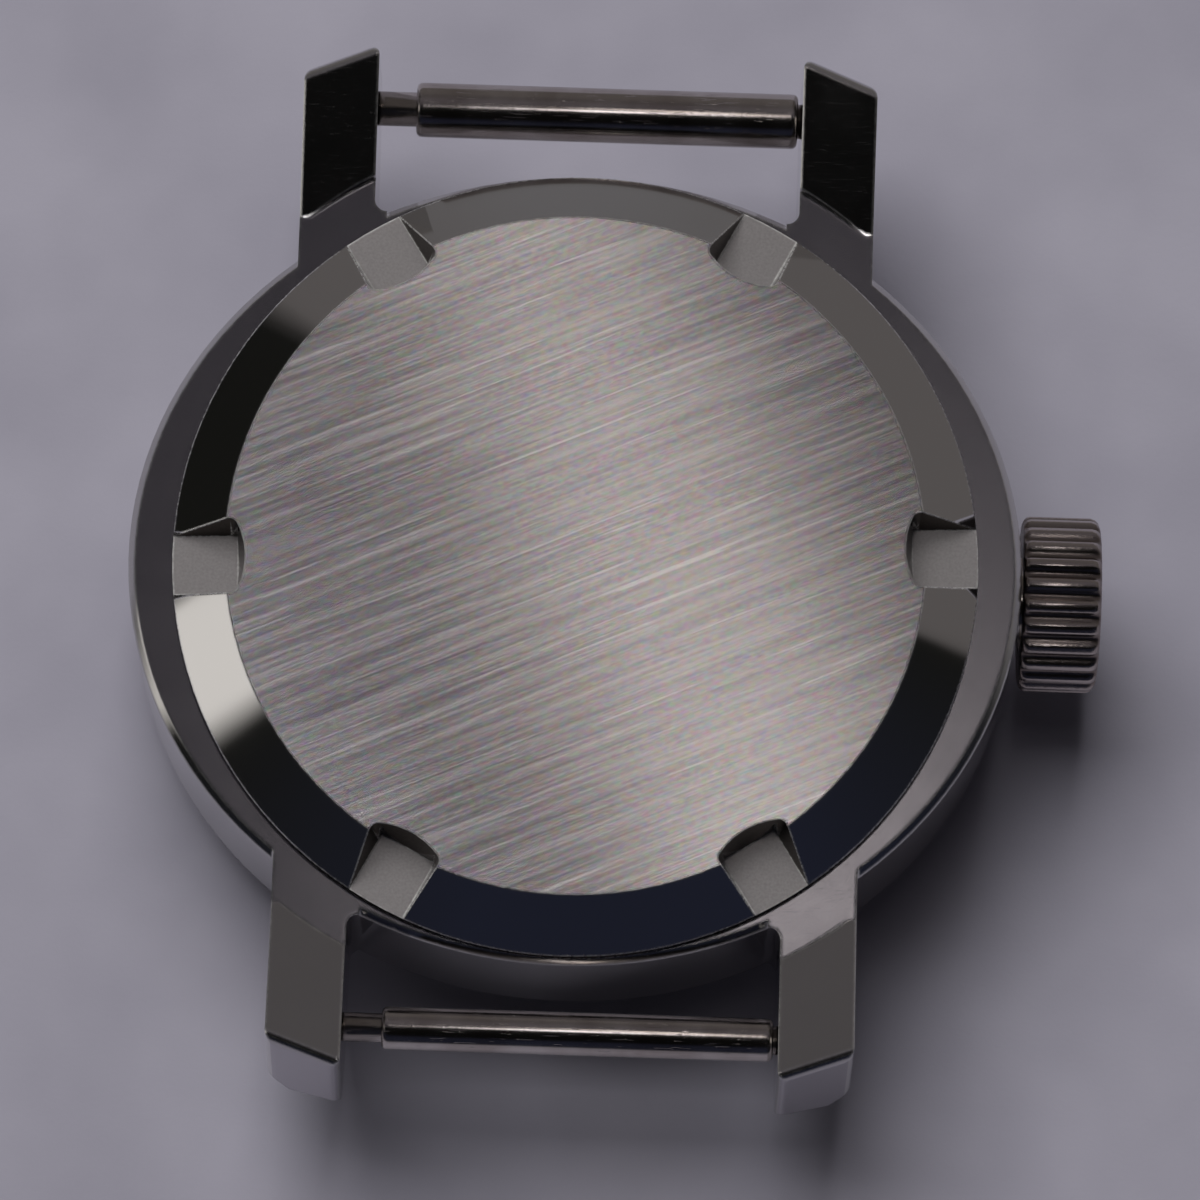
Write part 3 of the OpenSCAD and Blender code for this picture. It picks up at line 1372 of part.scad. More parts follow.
case_middle();
crystal();
tension_ring();
case_back();
case_back_gasket();
crown_tube();
crown();
crown_gasket();
crown_washer();
winding_stem();
upper_bar_tube();
upper_bar_left_pivot();
upper_bar_right_pivot();
upper_bar_spring();
lower_bar_tube();
lower_bar_left_pivot();
lower_bar_right_pivot();
lower_bar_spring();
movement_ring();
casing_clamps();
dial();
hour_markers();
hour_hand();
minute_hand();
mainplate();
barrel_drum();
barrel_arbor();
mainspring();
ratchet_wheel();
ratchet_screw();
barrel_bridge();
crown_wheel();
click();
click_spring();
train_bridge();
center_wheel();
third_wheel();
fourth_wheel();
escape_wheel();
pallet_fork();
pallet_bridge();
balance_wheel();
hairspring();
balance_cock();
regulator();
winding_pinion();
clutch_wheel();
setting_lever();
yoke();
setting_bridge();
setting_wheel();
minute_wheel();
cannon_pinion();
hour_wheel();
movement_screws();
jewels();
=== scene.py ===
import math

import bmesh
import bpy
from mathutils import Matrix, Vector


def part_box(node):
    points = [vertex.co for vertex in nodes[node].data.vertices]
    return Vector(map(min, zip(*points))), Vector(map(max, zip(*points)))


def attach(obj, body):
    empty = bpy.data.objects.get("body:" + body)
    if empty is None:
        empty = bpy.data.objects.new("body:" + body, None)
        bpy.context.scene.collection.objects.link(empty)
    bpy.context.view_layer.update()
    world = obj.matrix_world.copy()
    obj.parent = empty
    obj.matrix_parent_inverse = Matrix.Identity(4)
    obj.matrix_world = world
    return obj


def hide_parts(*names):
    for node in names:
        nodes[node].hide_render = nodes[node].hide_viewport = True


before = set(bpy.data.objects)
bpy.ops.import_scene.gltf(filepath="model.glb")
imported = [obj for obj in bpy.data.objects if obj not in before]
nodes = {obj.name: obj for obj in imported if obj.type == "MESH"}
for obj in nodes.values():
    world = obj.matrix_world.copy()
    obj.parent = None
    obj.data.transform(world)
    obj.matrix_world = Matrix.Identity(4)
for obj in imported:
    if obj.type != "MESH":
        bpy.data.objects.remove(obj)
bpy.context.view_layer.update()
scene = bpy.context.scene
scene.view_settings.view_transform = "Standard"


# The watch lies face down on a sheet of uncoated card, pale grey with a touch of blue. The card has a
# faint mottle and a fine tooth. A broad lamp lights the card softly, a slim strip lamp and a small high
# lamp draw the sheen on the metal, and the room is warm grey at the back, dark in front, a window left.
MM = 0.001
CARD_COLOUR = (0.315, 0.305, 0.36)
CARD_SHADE = (0.265, 0.257, 0.307)
CARD_HALF = 400 * MM


def add(tree, kind, inputs=None, **settings):
    """Adds a node, with its settings, and gives its inputs a value or a link each."""
    node = tree.nodes.new(kind)
    for key, value in settings.items():
        setattr(node, key, value)
    for key, value in (inputs or {}).items():
        if isinstance(value, bpy.types.NodeSocket):
            tree.links.new(value, node.inputs[key])
        else:
            node.inputs[key].default_value = value
    return node


def sums(tree, operation, *values):
    """The result of a Math node on one to three values or links."""
    return add(tree, "ShaderNodeMath", dict(enumerate(values)), operation=operation).outputs[0]


def ramp(tree, fac, stops):
    """A colour ramp; each stop is a place and a grey or a colour."""
    node = add(tree, "ShaderNodeValToRGB", {"Fac": fac})
    band = node.color_ramp
    while len(band.elements) < len(stops):
        band.elements.new(1)
    for element, (place, colour) in zip(band.elements, stops):
        element.position = place
        element.color = (*colour, 1) if isinstance(colour, tuple) else (colour, colour, colour, 1)
    return node.outputs["Color"]


def blend(tree, fac, a, b, kind="MIX"):
    """A colour mixed from two colours or links."""
    node = add(tree, "ShaderNodeMix", data_type="RGBA", blend_type=kind)
    for index, value in ((0, fac), (6, a), (7, b)):
        if isinstance(value, bpy.types.NodeSocket):
            tree.links.new(value, node.inputs[index])
        else:
            node.inputs[index].default_value = (*value, 1) if isinstance(value, tuple) else value
    return node.outputs[2]


def noise(tree, place, scale, detail=2, **inputs):
    """The grey value of a cloudy noise at a place."""
    values = {"Vector": place, "Scale": scale, "Detail": detail, **inputs}
    return add(tree, "ShaderNodeTexNoise", values).outputs["Fac"]


def split(tree, vector):
    """The three coordinates of a vector."""
    return add(tree, "ShaderNodeSeparateXYZ", {0: vector}).outputs


def finish(name, **sockets):
    """A material with plain values on its shader's own sockets. Gives the material, tree and shader."""
    material = bpy.data.materials.new(name)
    material.use_nodes = True
    shader = material.node_tree.nodes["Principled BSDF"]
    for key, value in sockets.items():
        socket = shader.inputs[key.replace("_", " ")]
        socket.default_value = (*value, 1) if isinstance(value, tuple) else value
    return material, material.node_tree, shader


def paint(piece, material):
    """Gives a whole piece one material."""
    if not piece.material_slots:
        piece.data.materials.append(material)
    for held in piece.material_slots:
        held.material = material


card_finish, tree, shader = finish("pale_card", Roughness=0.9)
place = add(tree, "ShaderNodeTexCoord").outputs["Object"]
mottle = noise(tree, place, 130, 3)
tooth = noise(tree, place, 5000)
card_tone = blend(tree, ramp(tree, mottle, [(0.35, 0.0), (0.65, 1.0)]), CARD_SHADE, CARD_COLOUR)
tree.links.new(card_tone, shader.inputs["Base Color"])
card_bump = add(tree, "ShaderNodeBump", {"Height": tooth, "Strength": 0.25, "Distance": 0.02 * MM})
tree.links.new(card_bump.outputs[0], shader.inputs["Normal"])
card_mesh = bpy.data.meshes.new("card")
corners = [(x * CARD_HALF, y * CARD_HALF, 0) for x, y in ((-1, -1), (1, -1), (1, 1), (-1, 1))]
card_mesh.from_pydata(corners, [], [(0, 1, 2, 3)])
card = bpy.data.objects.new("card", card_mesh)
scene.collection.objects.link(card)
paint(card, card_finish)


def area_lamp(name, heading, distance, width, length, watts, colour, length_way):
    """A rectangular lamp, in metres, that shines on the watch from a heading. Its length runs as near
    as it can along length_way."""
    data = bpy.data.lights.new(name, "AREA")
    data.shape = "RECTANGLE"
    data.size = width
    data.size_y = length
    data.energy = watts
    data.color = colour
    lamp = bpy.data.objects.new(name, data)
    away = Vector(heading).normalized()
    side = Vector(length_way).cross(away).normalized()
    lamp.matrix_world = Matrix((side, away.cross(side), away)).transposed().to_4x4()
    lamp.location = away * distance
    scene.collection.objects.link(lamp)
    return lamp


BRUSH_ANGLE = math.radians(24)
across_brushing = (-math.sin(BRUSH_ANGLE), math.cos(BRUSH_ANGLE), 0)
broad_lamp = area_lamp("broad_lamp", heading=(-0.25, 0.45, 0.86), distance=0.6, width=0.45, length=0.45,
                       watts=4.2, colour=(1, 0.99, 0.98), length_way=(0, 1, 0))
broad_lamp.visible_glossy = False
area_lamp("strip_lamp", heading=(0.064, 0.138, 0.99), distance=0.55, width=0.022, length=0.12,
          watts=0.029, colour=(1, 0.93, 0.89), length_way=across_brushing)
area_lamp("high_lamp", heading=(0, 0.015, 1), distance=0.55, width=0.06, length=0.055,
          watts=0.042, colour=(1, 0.97, 1), length_way=(0, 1, 0))

# The room, as colours by bearing for its walls, by Y for its ceiling, and one colour under the horizon
room = bpy.data.worlds.new("room")
room.use_nodes = True
scene.world = room
tree = room.node_tree
heading = split(tree, add(tree, "ShaderNodeTexCoord").outputs["Generated"])
bearing = sums(tree, "ARCTAN2", heading[1], heading[0])
turn = sums(tree, "MULTIPLY_ADD", bearing, 0.5 / math.pi, 0.5)
DARK = (0.015, 0.017, 0.03)
BLACK = (0.01, 0.01, 0.009)
WARM = (0.128, 0.118, 0.117)
WINDOW = (0.86, 0.83, 0.8)
UNDER_HORIZON = (0.16, 0.155, 0.16)
walls = ramp(tree, turn, [(0, WINDOW), (0.03, WINDOW), (0.045, BLACK), (0.2, DARK), (0.38, DARK),
                          (0.509, BLACK), (0.512, WARM), (0.855, WARM), (0.865, BLACK),
                          (0.979, BLACK), (0.983, WINDOW)])
ceiling = ramp(tree, sums(tree, "MULTIPLY_ADD", heading[1], 0.5, 0.5),
               [(0.44, (0.004, 0.004, 0.004)), (0.54, (0.06, 0.055, 0.062)), (0.63, (0.1, 0.093, 0.104)),
                (0.72, (0.12, 0.111, 0.122)), (0.85, (0.1, 0.093, 0.095))])
upper = ramp(tree, heading[2], [(0.5, 0.0), (0.68, 1.0)])
above = ramp(tree, heading[2], [(0.0, 0.0), (0.04, 1.0)])
sky = blend(tree, above, UNDER_HORIZON, blend(tree, upper, walls, ceiling))
tree.links.new(sky, tree.nodes["Background"].inputs["Color"])
tree.nodes["Background"].inputs["Strength"].default_value = 1

# The camera stands in front of the watch, tipped back from straight above it
CAMERA_TILT = math.radians(14.7)
CAMERA_ROLL = math.radians(1.85)
CAMERA_DISTANCE = 240 * MM
CAMERA_ASIDE = 0.69 * MM
CAMERA_BELOW = 0.972 * MM
CAMERA_AIM = Vector((0, 0, 7 * MM))
PHOTO_SIZE = 1200
PIXELS_FOCAL = 8587.7
SENSOR = 36
back = Vector((0, -math.sin(CAMERA_TILT), math.cos(CAMERA_TILT)))
level_up = Vector((0, math.cos(CAMERA_TILT), math.sin(CAMERA_TILT)))
right = math.cos(CAMERA_ROLL) * Vector((1, 0, 0)) + math.sin(CAMERA_ROLL) * level_up
up = back.cross(right)
camera_data = bpy.data.cameras.new("camera")
camera_data.sensor_width = SENSOR
camera_data.lens = PIXELS_FOCAL * SENSOR / PHOTO_SIZE
camera_data.clip_start = 10 * MM
camera = bpy.data.objects.new("camera", camera_data)
camera.matrix_world = Matrix((right, up, back)).transposed().to_4x4()
camera.location = CAMERA_AIM + CAMERA_DISTANCE * back + CAMERA_ASIDE * right - CAMERA_BELOW * up
scene.collection.objects.link(camera)
scene.camera = camera


# The case middle is turned and milled from one block of stainless steel: an oval ring with four lugs.
# Its flanks and lugs are polished, and the narrow seat round the back keeps the lathe's fine rings, with its
# colour darkened as painted shade.
# Years of wear left hairline scratches all over and softened every edge, and a painted highlight lightens
# each edge to a bright line.
CASE_COLOUR = (0.6, 0.59, 0.575)
CASE_EDGE = 0.14 * MM
LUG_END_FROM = 13.6
LUG_END_FULL = 13.8


def group(name, inputs, outputs):
    """Starts a node group with named inputs and outputs. Gives the tree and its two end nodes."""
    tree = bpy.data.node_groups.new(name, "ShaderNodeTree")
    for direction, sockets in (("INPUT", inputs), ("OUTPUT", outputs)):
        for socket, (form, value) in sockets.items():
            made = tree.interface.new_socket(socket, in_out=direction, socket_type="NodeSocket" + form)
            if value is not None:
                made.default_value = value
    return tree, add(tree, "NodeGroupInput"), add(tree, "NodeGroupOutput")


def use(tree, grouped, **inputs):
    """Places a node group in a material and gives its outputs."""
    node = add(tree, "ShaderNodeGroup", node_tree=grouped)
    for key, value in inputs.items():
        if isinstance(value, bpy.types.NodeSocket):
            tree.links.new(value, node.inputs[key])
        else:
            node.inputs[key].default_value = value
    return node.outputs


# Straight brushing or fine lathe rings: long streaks that run along the first coordinate
streaks, start, end = group("streaks", {"Place": ("Vector", None), "Fineness": ("Float", 9.0),
                                        "Length": ("Float", 0.25)},
                            {"Tone": ("Float", None), "Scratches": ("Float", None)})
parts = split(streaks, start.outputs["Place"])
across = sums(streaks, "MULTIPLY", parts[1], start.outputs["Fineness"])
along = sums(streaks, "MULTIPLY", parts[0], start.outputs["Length"])
lines = add(streaks, "ShaderNodeCombineXYZ", {0: along, 1: across, 2: parts[2]}).outputs[0]
fine = noise(streaks, lines, 1.0, 4, Roughness=0.7)
broad = noise(streaks, lines, 0.23)
rare = noise(streaks, lines, 0.55, 1)
tone = sums(streaks, "MULTIPLY_ADD", fine, 0.65, sums(streaks, "MULTIPLY", broad, 0.35))
streaks.links.new(tone, end.inputs["Tone"])
streaks.links.new(ramp(streaks, rare, [(0.66, 0.0), (0.7, 1.0)]), end.inputs["Scratches"])

# Hairlines: short fine scratches lying every way, and a slow change in polish
hairlines, start, end = group("hairlines", {"Place": ("Vector", None), "Size": ("Float", 1.0)},
                              {"Mask": ("Float", None), "Cloud": ("Float", None)})
scratches = None
for angle, seed in ((0.3, 1.0), (1.4, 7.0), (2.3, 13.0)):
    turned = add(hairlines, "ShaderNodeMapping", {"Vector": start.outputs["Place"],
                                                  "Rotation": (0.4, 0.3, angle), "Scale": (0.5, 9, 0.5),
                                                  "Location": (seed, seed, seed)}).outputs[0]
    veins = noise(hairlines, turned, start.outputs["Size"], 1, Distortion=0.15)
    line = ramp(hairlines, veins, [(0.7, 0.0), (0.74, 1.0)])
    scratches = line if scratches is None else sums(hairlines, "MAXIMUM", scratches, line)
hairlines.links.new(scratches, end.inputs["Mask"])
hairlines.links.new(noise(hairlines, start.outputs["Place"], 0.7, 3), end.inputs["Cloud"])

# Softened edges: the normal rounded over each edge, and a dotted mask of where wear has polished it, which
# the materials also use to paint a highlight along the edges
soft_edges, start, end = group("soft_edges", {"Radius": ("Float", 0.05 * MM)},
                               {"Normal": ("Vector", None), "WearAndHighlight": ("Float", None)})
rounded = add(soft_edges, "ShaderNodeBevel", {"Radius": start.outputs["Radius"]}, samples=6).outputs[0]
facing = add(soft_edges, "ShaderNodeNewGeometry").outputs["Normal"]
agree = add(soft_edges, "ShaderNodeVectorMath", {0: rounded, 1: facing}, operation="DOT_PRODUCT")
soft_edges.links.new(rounded, end.inputs["Normal"])
nicks = noise(soft_edges, add(soft_edges, "ShaderNodeTexCoord").outputs["Object"], 7000.0, 1)
worn_and_highlight = sums(soft_edges, "MULTIPLY", ramp(soft_edges, agree.outputs["Value"], [(0.94, 1.0), (0.995, 0.0)]),
            ramp(soft_edges, nicks, [(0.35, 0.5), (0.6, 1.0)]))
soft_edges.links.new(worn_and_highlight, end.inputs["WearAndHighlight"])


def place_mm(tree):
    """Where a point of the piece lies, in millimetres."""
    place = add(tree, "ShaderNodeTexCoord").outputs["Object"]
    return add(tree, "ShaderNodeVectorMath", {0: place, "Scale": 1 / MM}, operation="SCALE").outputs[0]


def steps(tree, value, low, high):
    """A mask that rises from 0 at low to 1 at high."""
    node = add(tree, "ShaderNodeMapRange", {"Value": value, "From Min": low, "From Max": high})
    return node.outputs[0]


def length_of(tree, a, b):
    """The length of the way to the point (a, b)."""
    return sums(tree, "SQRT", sums(tree, "ADD", sums(tree, "MULTIPLY", a, a), sums(tree, "MULTIPLY", b, b)))


def rings(tree, place):
    """Coordinates for lathe rings about Z: the way round in place of X, and the radius in place of Y.
    Gives the radius by itself too."""
    parts = split(tree, place)
    radius = length_of(tree, parts[0], parts[1])
    way = sums(tree, "MULTIPLY", sums(tree, "ARCTAN2", parts[1], parts[0]), 3)
    return add(tree, "ShaderNodeCombineXYZ", {0: way, 1: radius, 2: parts[2]}).outputs[0], radius


def share(tree, mask, amount, colour, other):
    """A colour with another laid over it where the mask is white, as strongly as the amount says."""
    return blend(tree, sums(tree, "MULTIPLY", mask, amount), colour, other)


def normal_parts(tree):
    """The three parts of the direction in which the surface faces."""
    return split(tree, add(tree, "ShaderNodeNewGeometry").outputs["Normal"])


def surface(tree, shader, colour, rough, height, depth, normal=None):
    """Joins colour, roughness and relief, its depth in millimetres, to a material's shader."""
    tree.links.new(colour, shader.inputs["Base Color"])
    tree.links.new(rough, shader.inputs["Roughness"])
    bump = add(tree, "ShaderNodeBump", {"Height": height, "Strength": 1.0, "Distance": depth * MM})
    if normal is not None:
        tree.links.new(normal, bump.inputs["Normal"])
    tree.links.new(bump.outputs[0], shader.inputs["Normal"])


case_finish, tree, shader = finish("case_steel")
place = place_mm(tree)
circles, _ = rings(tree, place)
turned = use(tree, streaks, Place=circles, Fineness=16.0, Length=0.35)
hair = use(tree, hairlines, Place=place, Size=4.0)
edge = use(tree, soft_edges, Radius=CASE_EDGE)
parts = split(tree, place)
facing = normal_parts(tree)
seat = steps(tree, facing[2], 0.985, 0.995)
colour = share(tree, hair["Cloud"], 0.5, CASE_COLOUR, (0.52, 0.505, 0.49))
# Painted shade: the seat's colour is darkened; the lathe rings shown in it are real
painted_dark_seat_tone = blend(tree, turned["Tone"], (0.19, 0.184, 0.2), (0.25, 0.243, 0.26))
colour = blend(tree, seat, colour, painted_dark_seat_tone)
# Painted shade: the end faces of the lugs are coloured darker
painted_dark_lug_ends = sums(tree, "MULTIPLY", steps(tree, sums(tree, "ABSOLUTE", facing[1]), 0.75, 0.85),
            steps(tree, sums(tree, "ABSOLUTE", parts[1]), LUG_END_FROM, LUG_END_FULL))
colour = blend(tree, painted_dark_lug_ends, colour, (0.4, 0.385, 0.41))
# Painted highlight: the worn, rounded edges are lightened
colour = share(tree, edge["WearAndHighlight"], 0.45, colour, (0.86, 0.86, 0.85))
rough = sums(tree, "MULTIPLY_ADD", seat, 0.1, sums(tree, "MULTIPLY_ADD", hair["Cloud"], 0.06, 0.04))
rough = sums(tree, "MULTIPLY_ADD", edge["WearAndHighlight"], 0.05, rough)
rough = sums(tree, "MULTIPLY_ADD", hair["Mask"], 0.06, rough)
relief = sums(tree, "MULTIPLY", turned["Tone"], seat)
surface(tree, shader, colour, rough, relief, 0.0006, edge["Normal"])
tree.links.new(sums(tree, "MULTIPLY_ADD", edge["WearAndHighlight"], -0.1, 1.0), shader.inputs["Metallic"])
paint(nodes["case_middle"], case_finish)


# The case back is a turned steel lid that screws into the middle. Its flat is brushed straight across,
# the cone round it is polished, and six notches for a wrench are milled through the cone. The notch
# floors keep a matt grey skin.
BACK_COLOUR = (0.66, 0.65, 0.64)
BACK_EDGE = 0.09 * MM
FLAT_FROM, FLAT_FULL = 8.3, 8.38
FLOOR_FROM, FLOOR_FULL = 7.5, 7.35
WALL_SHADE = (0.1, 0.085, 0.075)
back_finish, tree, shader = finish("back_steel", Anisotropic=1.0)
place = place_mm(tree)
brushed = add(tree, "ShaderNodeMapping", {"Vector": place, "Rotation": (0, 0, -BRUSH_ANGLE)}).outputs[0]
brush = use(tree, streaks, Place=brushed, Fineness=15.0, Length=0.3)
edge = use(tree, soft_edges, Radius=BACK_EDGE)
upright = normal_parts(tree)[2]
height = split(tree, place)[2]
level = steps(tree, upright, 0.97, 0.99)
flat = sums(tree, "MULTIPLY", level, steps(tree, height, FLAT_FROM, FLAT_FULL))
floor = sums(tree, "MULTIPLY", level, steps(tree, height, FLOOR_FROM, FLOOR_FULL))
notch_walls = steps(tree, upright, 0.45, 0.3)
tone = ramp(tree, brush["Tone"], [(0.36, (0.38, 0.36, 0.375)), (0.5, (0.56, 0.54, 0.54)),
                                  (0.64, (0.8, 0.77, 0.76))])
tone = share(tree, brush["Scratches"], 0.5, tone, (0.95, 0.94, 0.93))
drawn_out = add(tree, "ShaderNodeMapping", {"Vector": brushed, "Scale": (5, 9, 1)}).outputs[0]
glints = add(tree, "ShaderNodeTexNoise", {"Vector": drawn_out, "Scale": 1.0, "Detail": 2}).outputs["Color"]
tone = blend(tree, 0.45, tone, glints, kind="OVERLAY")
grit = noise(tree, place, 14.0, 3)
skin = ramp(tree, grit, [(0.3, (0.38, 0.36, 0.36)), (0.7, (0.45, 0.43, 0.43))])
colour = blend(tree, flat, BACK_COLOUR, tone)
colour = blend(tree, floor, colour, skin)
colour = blend(tree, notch_walls, colour, WALL_SHADE)
# Painted highlight: the worn, rounded edges are lightened
colour = share(tree, edge["WearAndHighlight"], 0.8, colour, (0.92, 0.92, 0.9))
rough = sums(tree, "MULTIPLY_ADD", flat, 0.1, sums(tree, "MULTIPLY_ADD", floor, 0.4, 0.04))
rough = sums(tree, "MULTIPLY_ADD", sums(tree, "MULTIPLY", brush["Tone"], flat), 0.18, rough)
rough = sums(tree, "MULTIPLY_ADD", edge["WearAndHighlight"], 0.3, rough)
surface(tree, shader, colour, rough, sums(tree, "MULTIPLY", grit, floor), 0.002, edge["Normal"])
sheen = sums(tree, "MULTIPLY_ADD", edge["WearAndHighlight"], -0.25, sums(tree, "MULTIPLY_ADD", floor, -0.3, 1.0))
tree.links.new(sheen, shader.inputs["Metallic"])
grain = add(tree, "ShaderNodeVectorTransform", {"Vector": across_brushing},
            vector_type="VECTOR", convert_from="OBJECT", convert_to="WORLD")
tree.links.new(grain.outputs[0], shader.inputs["Tangent"])
paint(nodes["case_back"], back_finish)


# The back's thread is cut on its neck. It is a fine thread of a little over three turns, and it stays
# hidden until the back is screwed out.
NECK_RADIUS = 9.9
THREAD_PITCH = 0.35
THREAD_HEIGHT = 0.03
THREAD_SUNK = 0.05
THREAD_FROM = 5.72
THREAD_TURNS = 3.2
TURN_STEPS = 72
FADE_STEPS = 12


def new_piece(name, body, material, smooth=True):
    """An empty piece that rides on a body, and the bmesh that fills it."""
    piece = bpy.data.objects.new(name, bpy.data.meshes.new(name))
    scene.collection.objects.link(piece)
    paint(piece, material)
    shape = bmesh.new()
    return piece, shape, (body, smooth)


def close_piece(piece, shape, how):
    """Writes the bmesh into its piece and mounts the piece on its body."""
    body, smooth = how
    bmesh.ops.recalc_face_normals(shape, faces=shape.faces)
    for face in shape.faces:
        face.smooth = smooth
    shape.to_mesh(piece.data)
    shape.free()
    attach(piece, body)


def skin_rows(shape, rows, capped=False):
    """Covers rows of points, in millimetres, with faces; each row is a loop round the piece."""
    made = [[shape.verts.new(Vector(p) * MM) for p in row] for row in rows]
    count = len(made[0])
    for low, high in zip(made, made[1:]):
        for i in range(count):
            j = (i + 1) % count
            shape.faces.new((low[i], low[j], high[j], high[i]))
    if capped:
        shape.faces.new(reversed(made[0]))
        shape.faces.new(made[-1])


thread, shape, how = new_piece("back_thread", "back", back_finish)
ridge = ((-THREAD_SUNK, -0.13), (THREAD_HEIGHT, -0.02), (THREAD_HEIGHT, 0.02), (-THREAD_SUNK, 0.13))
thread_steps = int(THREAD_TURNS * TURN_STEPS)
rows = []
for i in range(thread_steps + 1):
    angle = i * math.tau / TURN_STEPS
    taper = min(1, i / FADE_STEPS, (thread_steps - i) / FADE_STEPS)
    z = THREAD_FROM + THREAD_PITCH * i / TURN_STEPS
    row = []
    for rise, up_by in ridge:
        r = NECK_RADIUS - THREAD_SUNK + (rise + THREAD_SUNK) * taper
        row.append((r * math.cos(angle), r * math.sin(angle), z + up_by))
    rows.append(row)
skin_rows(shape, rows, capped=True)
close_piece(thread, shape, how)


# Two soft rings seal the case, one under the back and one in the crown. They are cut from black rubber,
# which is matt and faintly dusty.
rubber, tree, shader = finish("seal_rubber", Specular_IOR_Level=0.35)
place = place_mm(tree)
dust = noise(tree, place, 3.0, 5)
surface(tree, shader, ramp(tree, dust, [(0.4, (0.012, 0.012, 0.013)), (0.75, (0.05, 0.05, 0.052))]),
        ramp(tree, dust, [(0.3, 0.55), (0.8, 0.8)]), dust, 0.01)
for name in ("case_back_gasket", "crown_gasket"):
    paint(nodes[name], rubber)


# The crown is turned from steel bar with twenty-four rounded flutes for the fingers. Handling has
# polished its ridges, and its valleys are coloured darker and warmer than its ridges.
CROWN_FROM = 12.58
CROWN_AXIS_Z = 4.35
CROWN_LENGTH = 2.2
CROWN_RADIUS = 2.47
CAVITY_RADIUS = 1.3
CAVITY_DEPTH = 1.52
FLUTES = 24
FLUTE_DEPTH = 0.17
FLUTE_STEPS = 10
VALLEY_WIDTH = 1.25
VALLEY_END = 0.62
VALLEY_ROUND = 0.8
VALLEY_COLOUR = (0.2, 0.165, 0.15)
RIDGE_COLOUR = (0.54, 0.485, 0.455)
worn_steel, tree, shader = finish("worn_steel", Metallic=1.0)
place = place_mm(tree)
hair = use(tree, hairlines, Place=place, Size=3.0)
edge = use(tree, soft_edges, Radius=0.05 * MM)
parts = split(tree, place)
reach = length_of(tree, parts[1], sums(tree, "SUBTRACT", parts[2], CROWN_AXIS_Z))
tops = steps(tree, reach, CROWN_RADIUS - FLUTE_DEPTH, CROWN_RADIUS - 0.02)
speckle = noise(tree, place, 9.0, 3)
# The flute valleys are coloured darker and warmer than the ridges
colour = blend(tree, tops, VALLEY_COLOUR, RIDGE_COLOUR)
colour = share(tree, hair["Cloud"], 0.4, colour, (0.42, 0.37, 0.35))
# Painted highlight: the worn, rounded edges are lightened
colour = share(tree, edge["WearAndHighlight"], 0.2, colour, (0.85, 0.82, 0.8))
rough = sums(tree, "MULTIPLY_ADD", hair["Cloud"], 0.2, 0.2)
rough = sums(tree, "MULTIPLY_ADD", tops, -0.08, rough)
surface(tree, shader, colour, rough, speckle, 0.006, edge["Normal"])
crown, shape, how = new_piece("fluted_crown", "crown", worn_steel)
# Each station is a place along the crown, its radius and how much of a flute's depth is cut there
stations = [(CAVITY_DEPTH, 0.0, 0), (CAVITY_DEPTH, CAVITY_RADIUS, 0), (0.04, CAVITY_RADIUS, 0),
            (0.0, CAVITY_RADIUS + 0.05, 0), (0.0, 2.28, 0), (0.03, 2.36, 0.5), (0.1, 2.44, 0.9),
            (0.2, CROWN_RADIUS, 1), (1.9, CROWN_RADIUS, 1), (2.03, 2.43, 0.9), (2.12, 2.34, 0.6),
            (2.17, 2.22, 0.15), (2.19, 2.05, 0), (CROWN_LENGTH, 1.6, 0), (CROWN_LENGTH, 0.0, 0)]
rows = []
for x, r, fluted in stations:
    row = []
    for i in range(FLUTES * FLUTE_STEPS):
        swing = (i % FLUTE_STEPS) / FLUTE_STEPS * 2 - 1
        valley = 0.0
        if abs(swing) < VALLEY_END:
            valley = max(0.0, math.cos(swing * math.pi / VALLEY_WIDTH)) ** VALLEY_ROUND
        cut_r = max(r - FLUTE_DEPTH * fluted * valley, 0.0)
        angle = (i + 0.5) / (FLUTES * FLUTE_STEPS) * math.tau
        row.append((CROWN_FROM + x, cut_r * math.cos(angle), CROWN_AXIS_Z + cut_r * math.sin(angle)))
    rows.append(row)
skin_rows(shape, rows)
bmesh.ops.remove_doubles(shape, verts=shape.verts, dist=0.001 * MM)
close_piece(crown, shape, how)
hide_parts("crown")
paint(nodes["crown"], worn_steel)


# The strap bars are drawn steel tubes with rolled-in ends. Two turned pivots slide in each, pressed
# apart by a coil spring, and sit in holes in the lugs. They have the brown tint of worn plating.
BAR_END = 6
BAR_RIGHT_GAP = 0.12
BAR_LENGTH = 10.8
BAR_Z = 6.7
# Each bar's Y, the radius of its tube and the radius of its pins
BARS = {"upper": (13.3, 0.775, 0.49), "lower": (-13.3, 0.6, 0.405)}
TUBE_WALL = 0.1
# How far the tube's rolled end has come in, at each distance from the end
ROLLED = ((0, 0.13), (0.03, 0.06), (0.1, 0.01), (0.2, 0))
LIP_END = 0.2
BORE_FROM = 0.25
BAR_PLAY = 0.03
PIVOT_TIP = 6.72
PIN_ROUND = 0.07
SHOULDER_LENGTH = 0.8
SHOULDER_ROUND = 0.04
BAR_SIDES = 48
bar_steel, tree, shader = finish("bar_steel", Metallic=1.0)
place = place_mm(tree)
parts = split(tree, place)
lathe = add(tree, "ShaderNodeCombineXYZ", {0: parts[1], 1: parts[0], 2: parts[2]}).outputs[0]
turned = use(tree, streaks, Place=lathe, Fineness=7.0, Length=0.5)
hair = use(tree, hairlines, Place=place, Size=2.2)
edge = use(tree, soft_edges, Radius=0.04 * MM)
colour = ramp(tree, hair["Cloud"], [(0.35, (0.4, 0.355, 0.325)), (0.65, (0.58, 0.54, 0.51))])
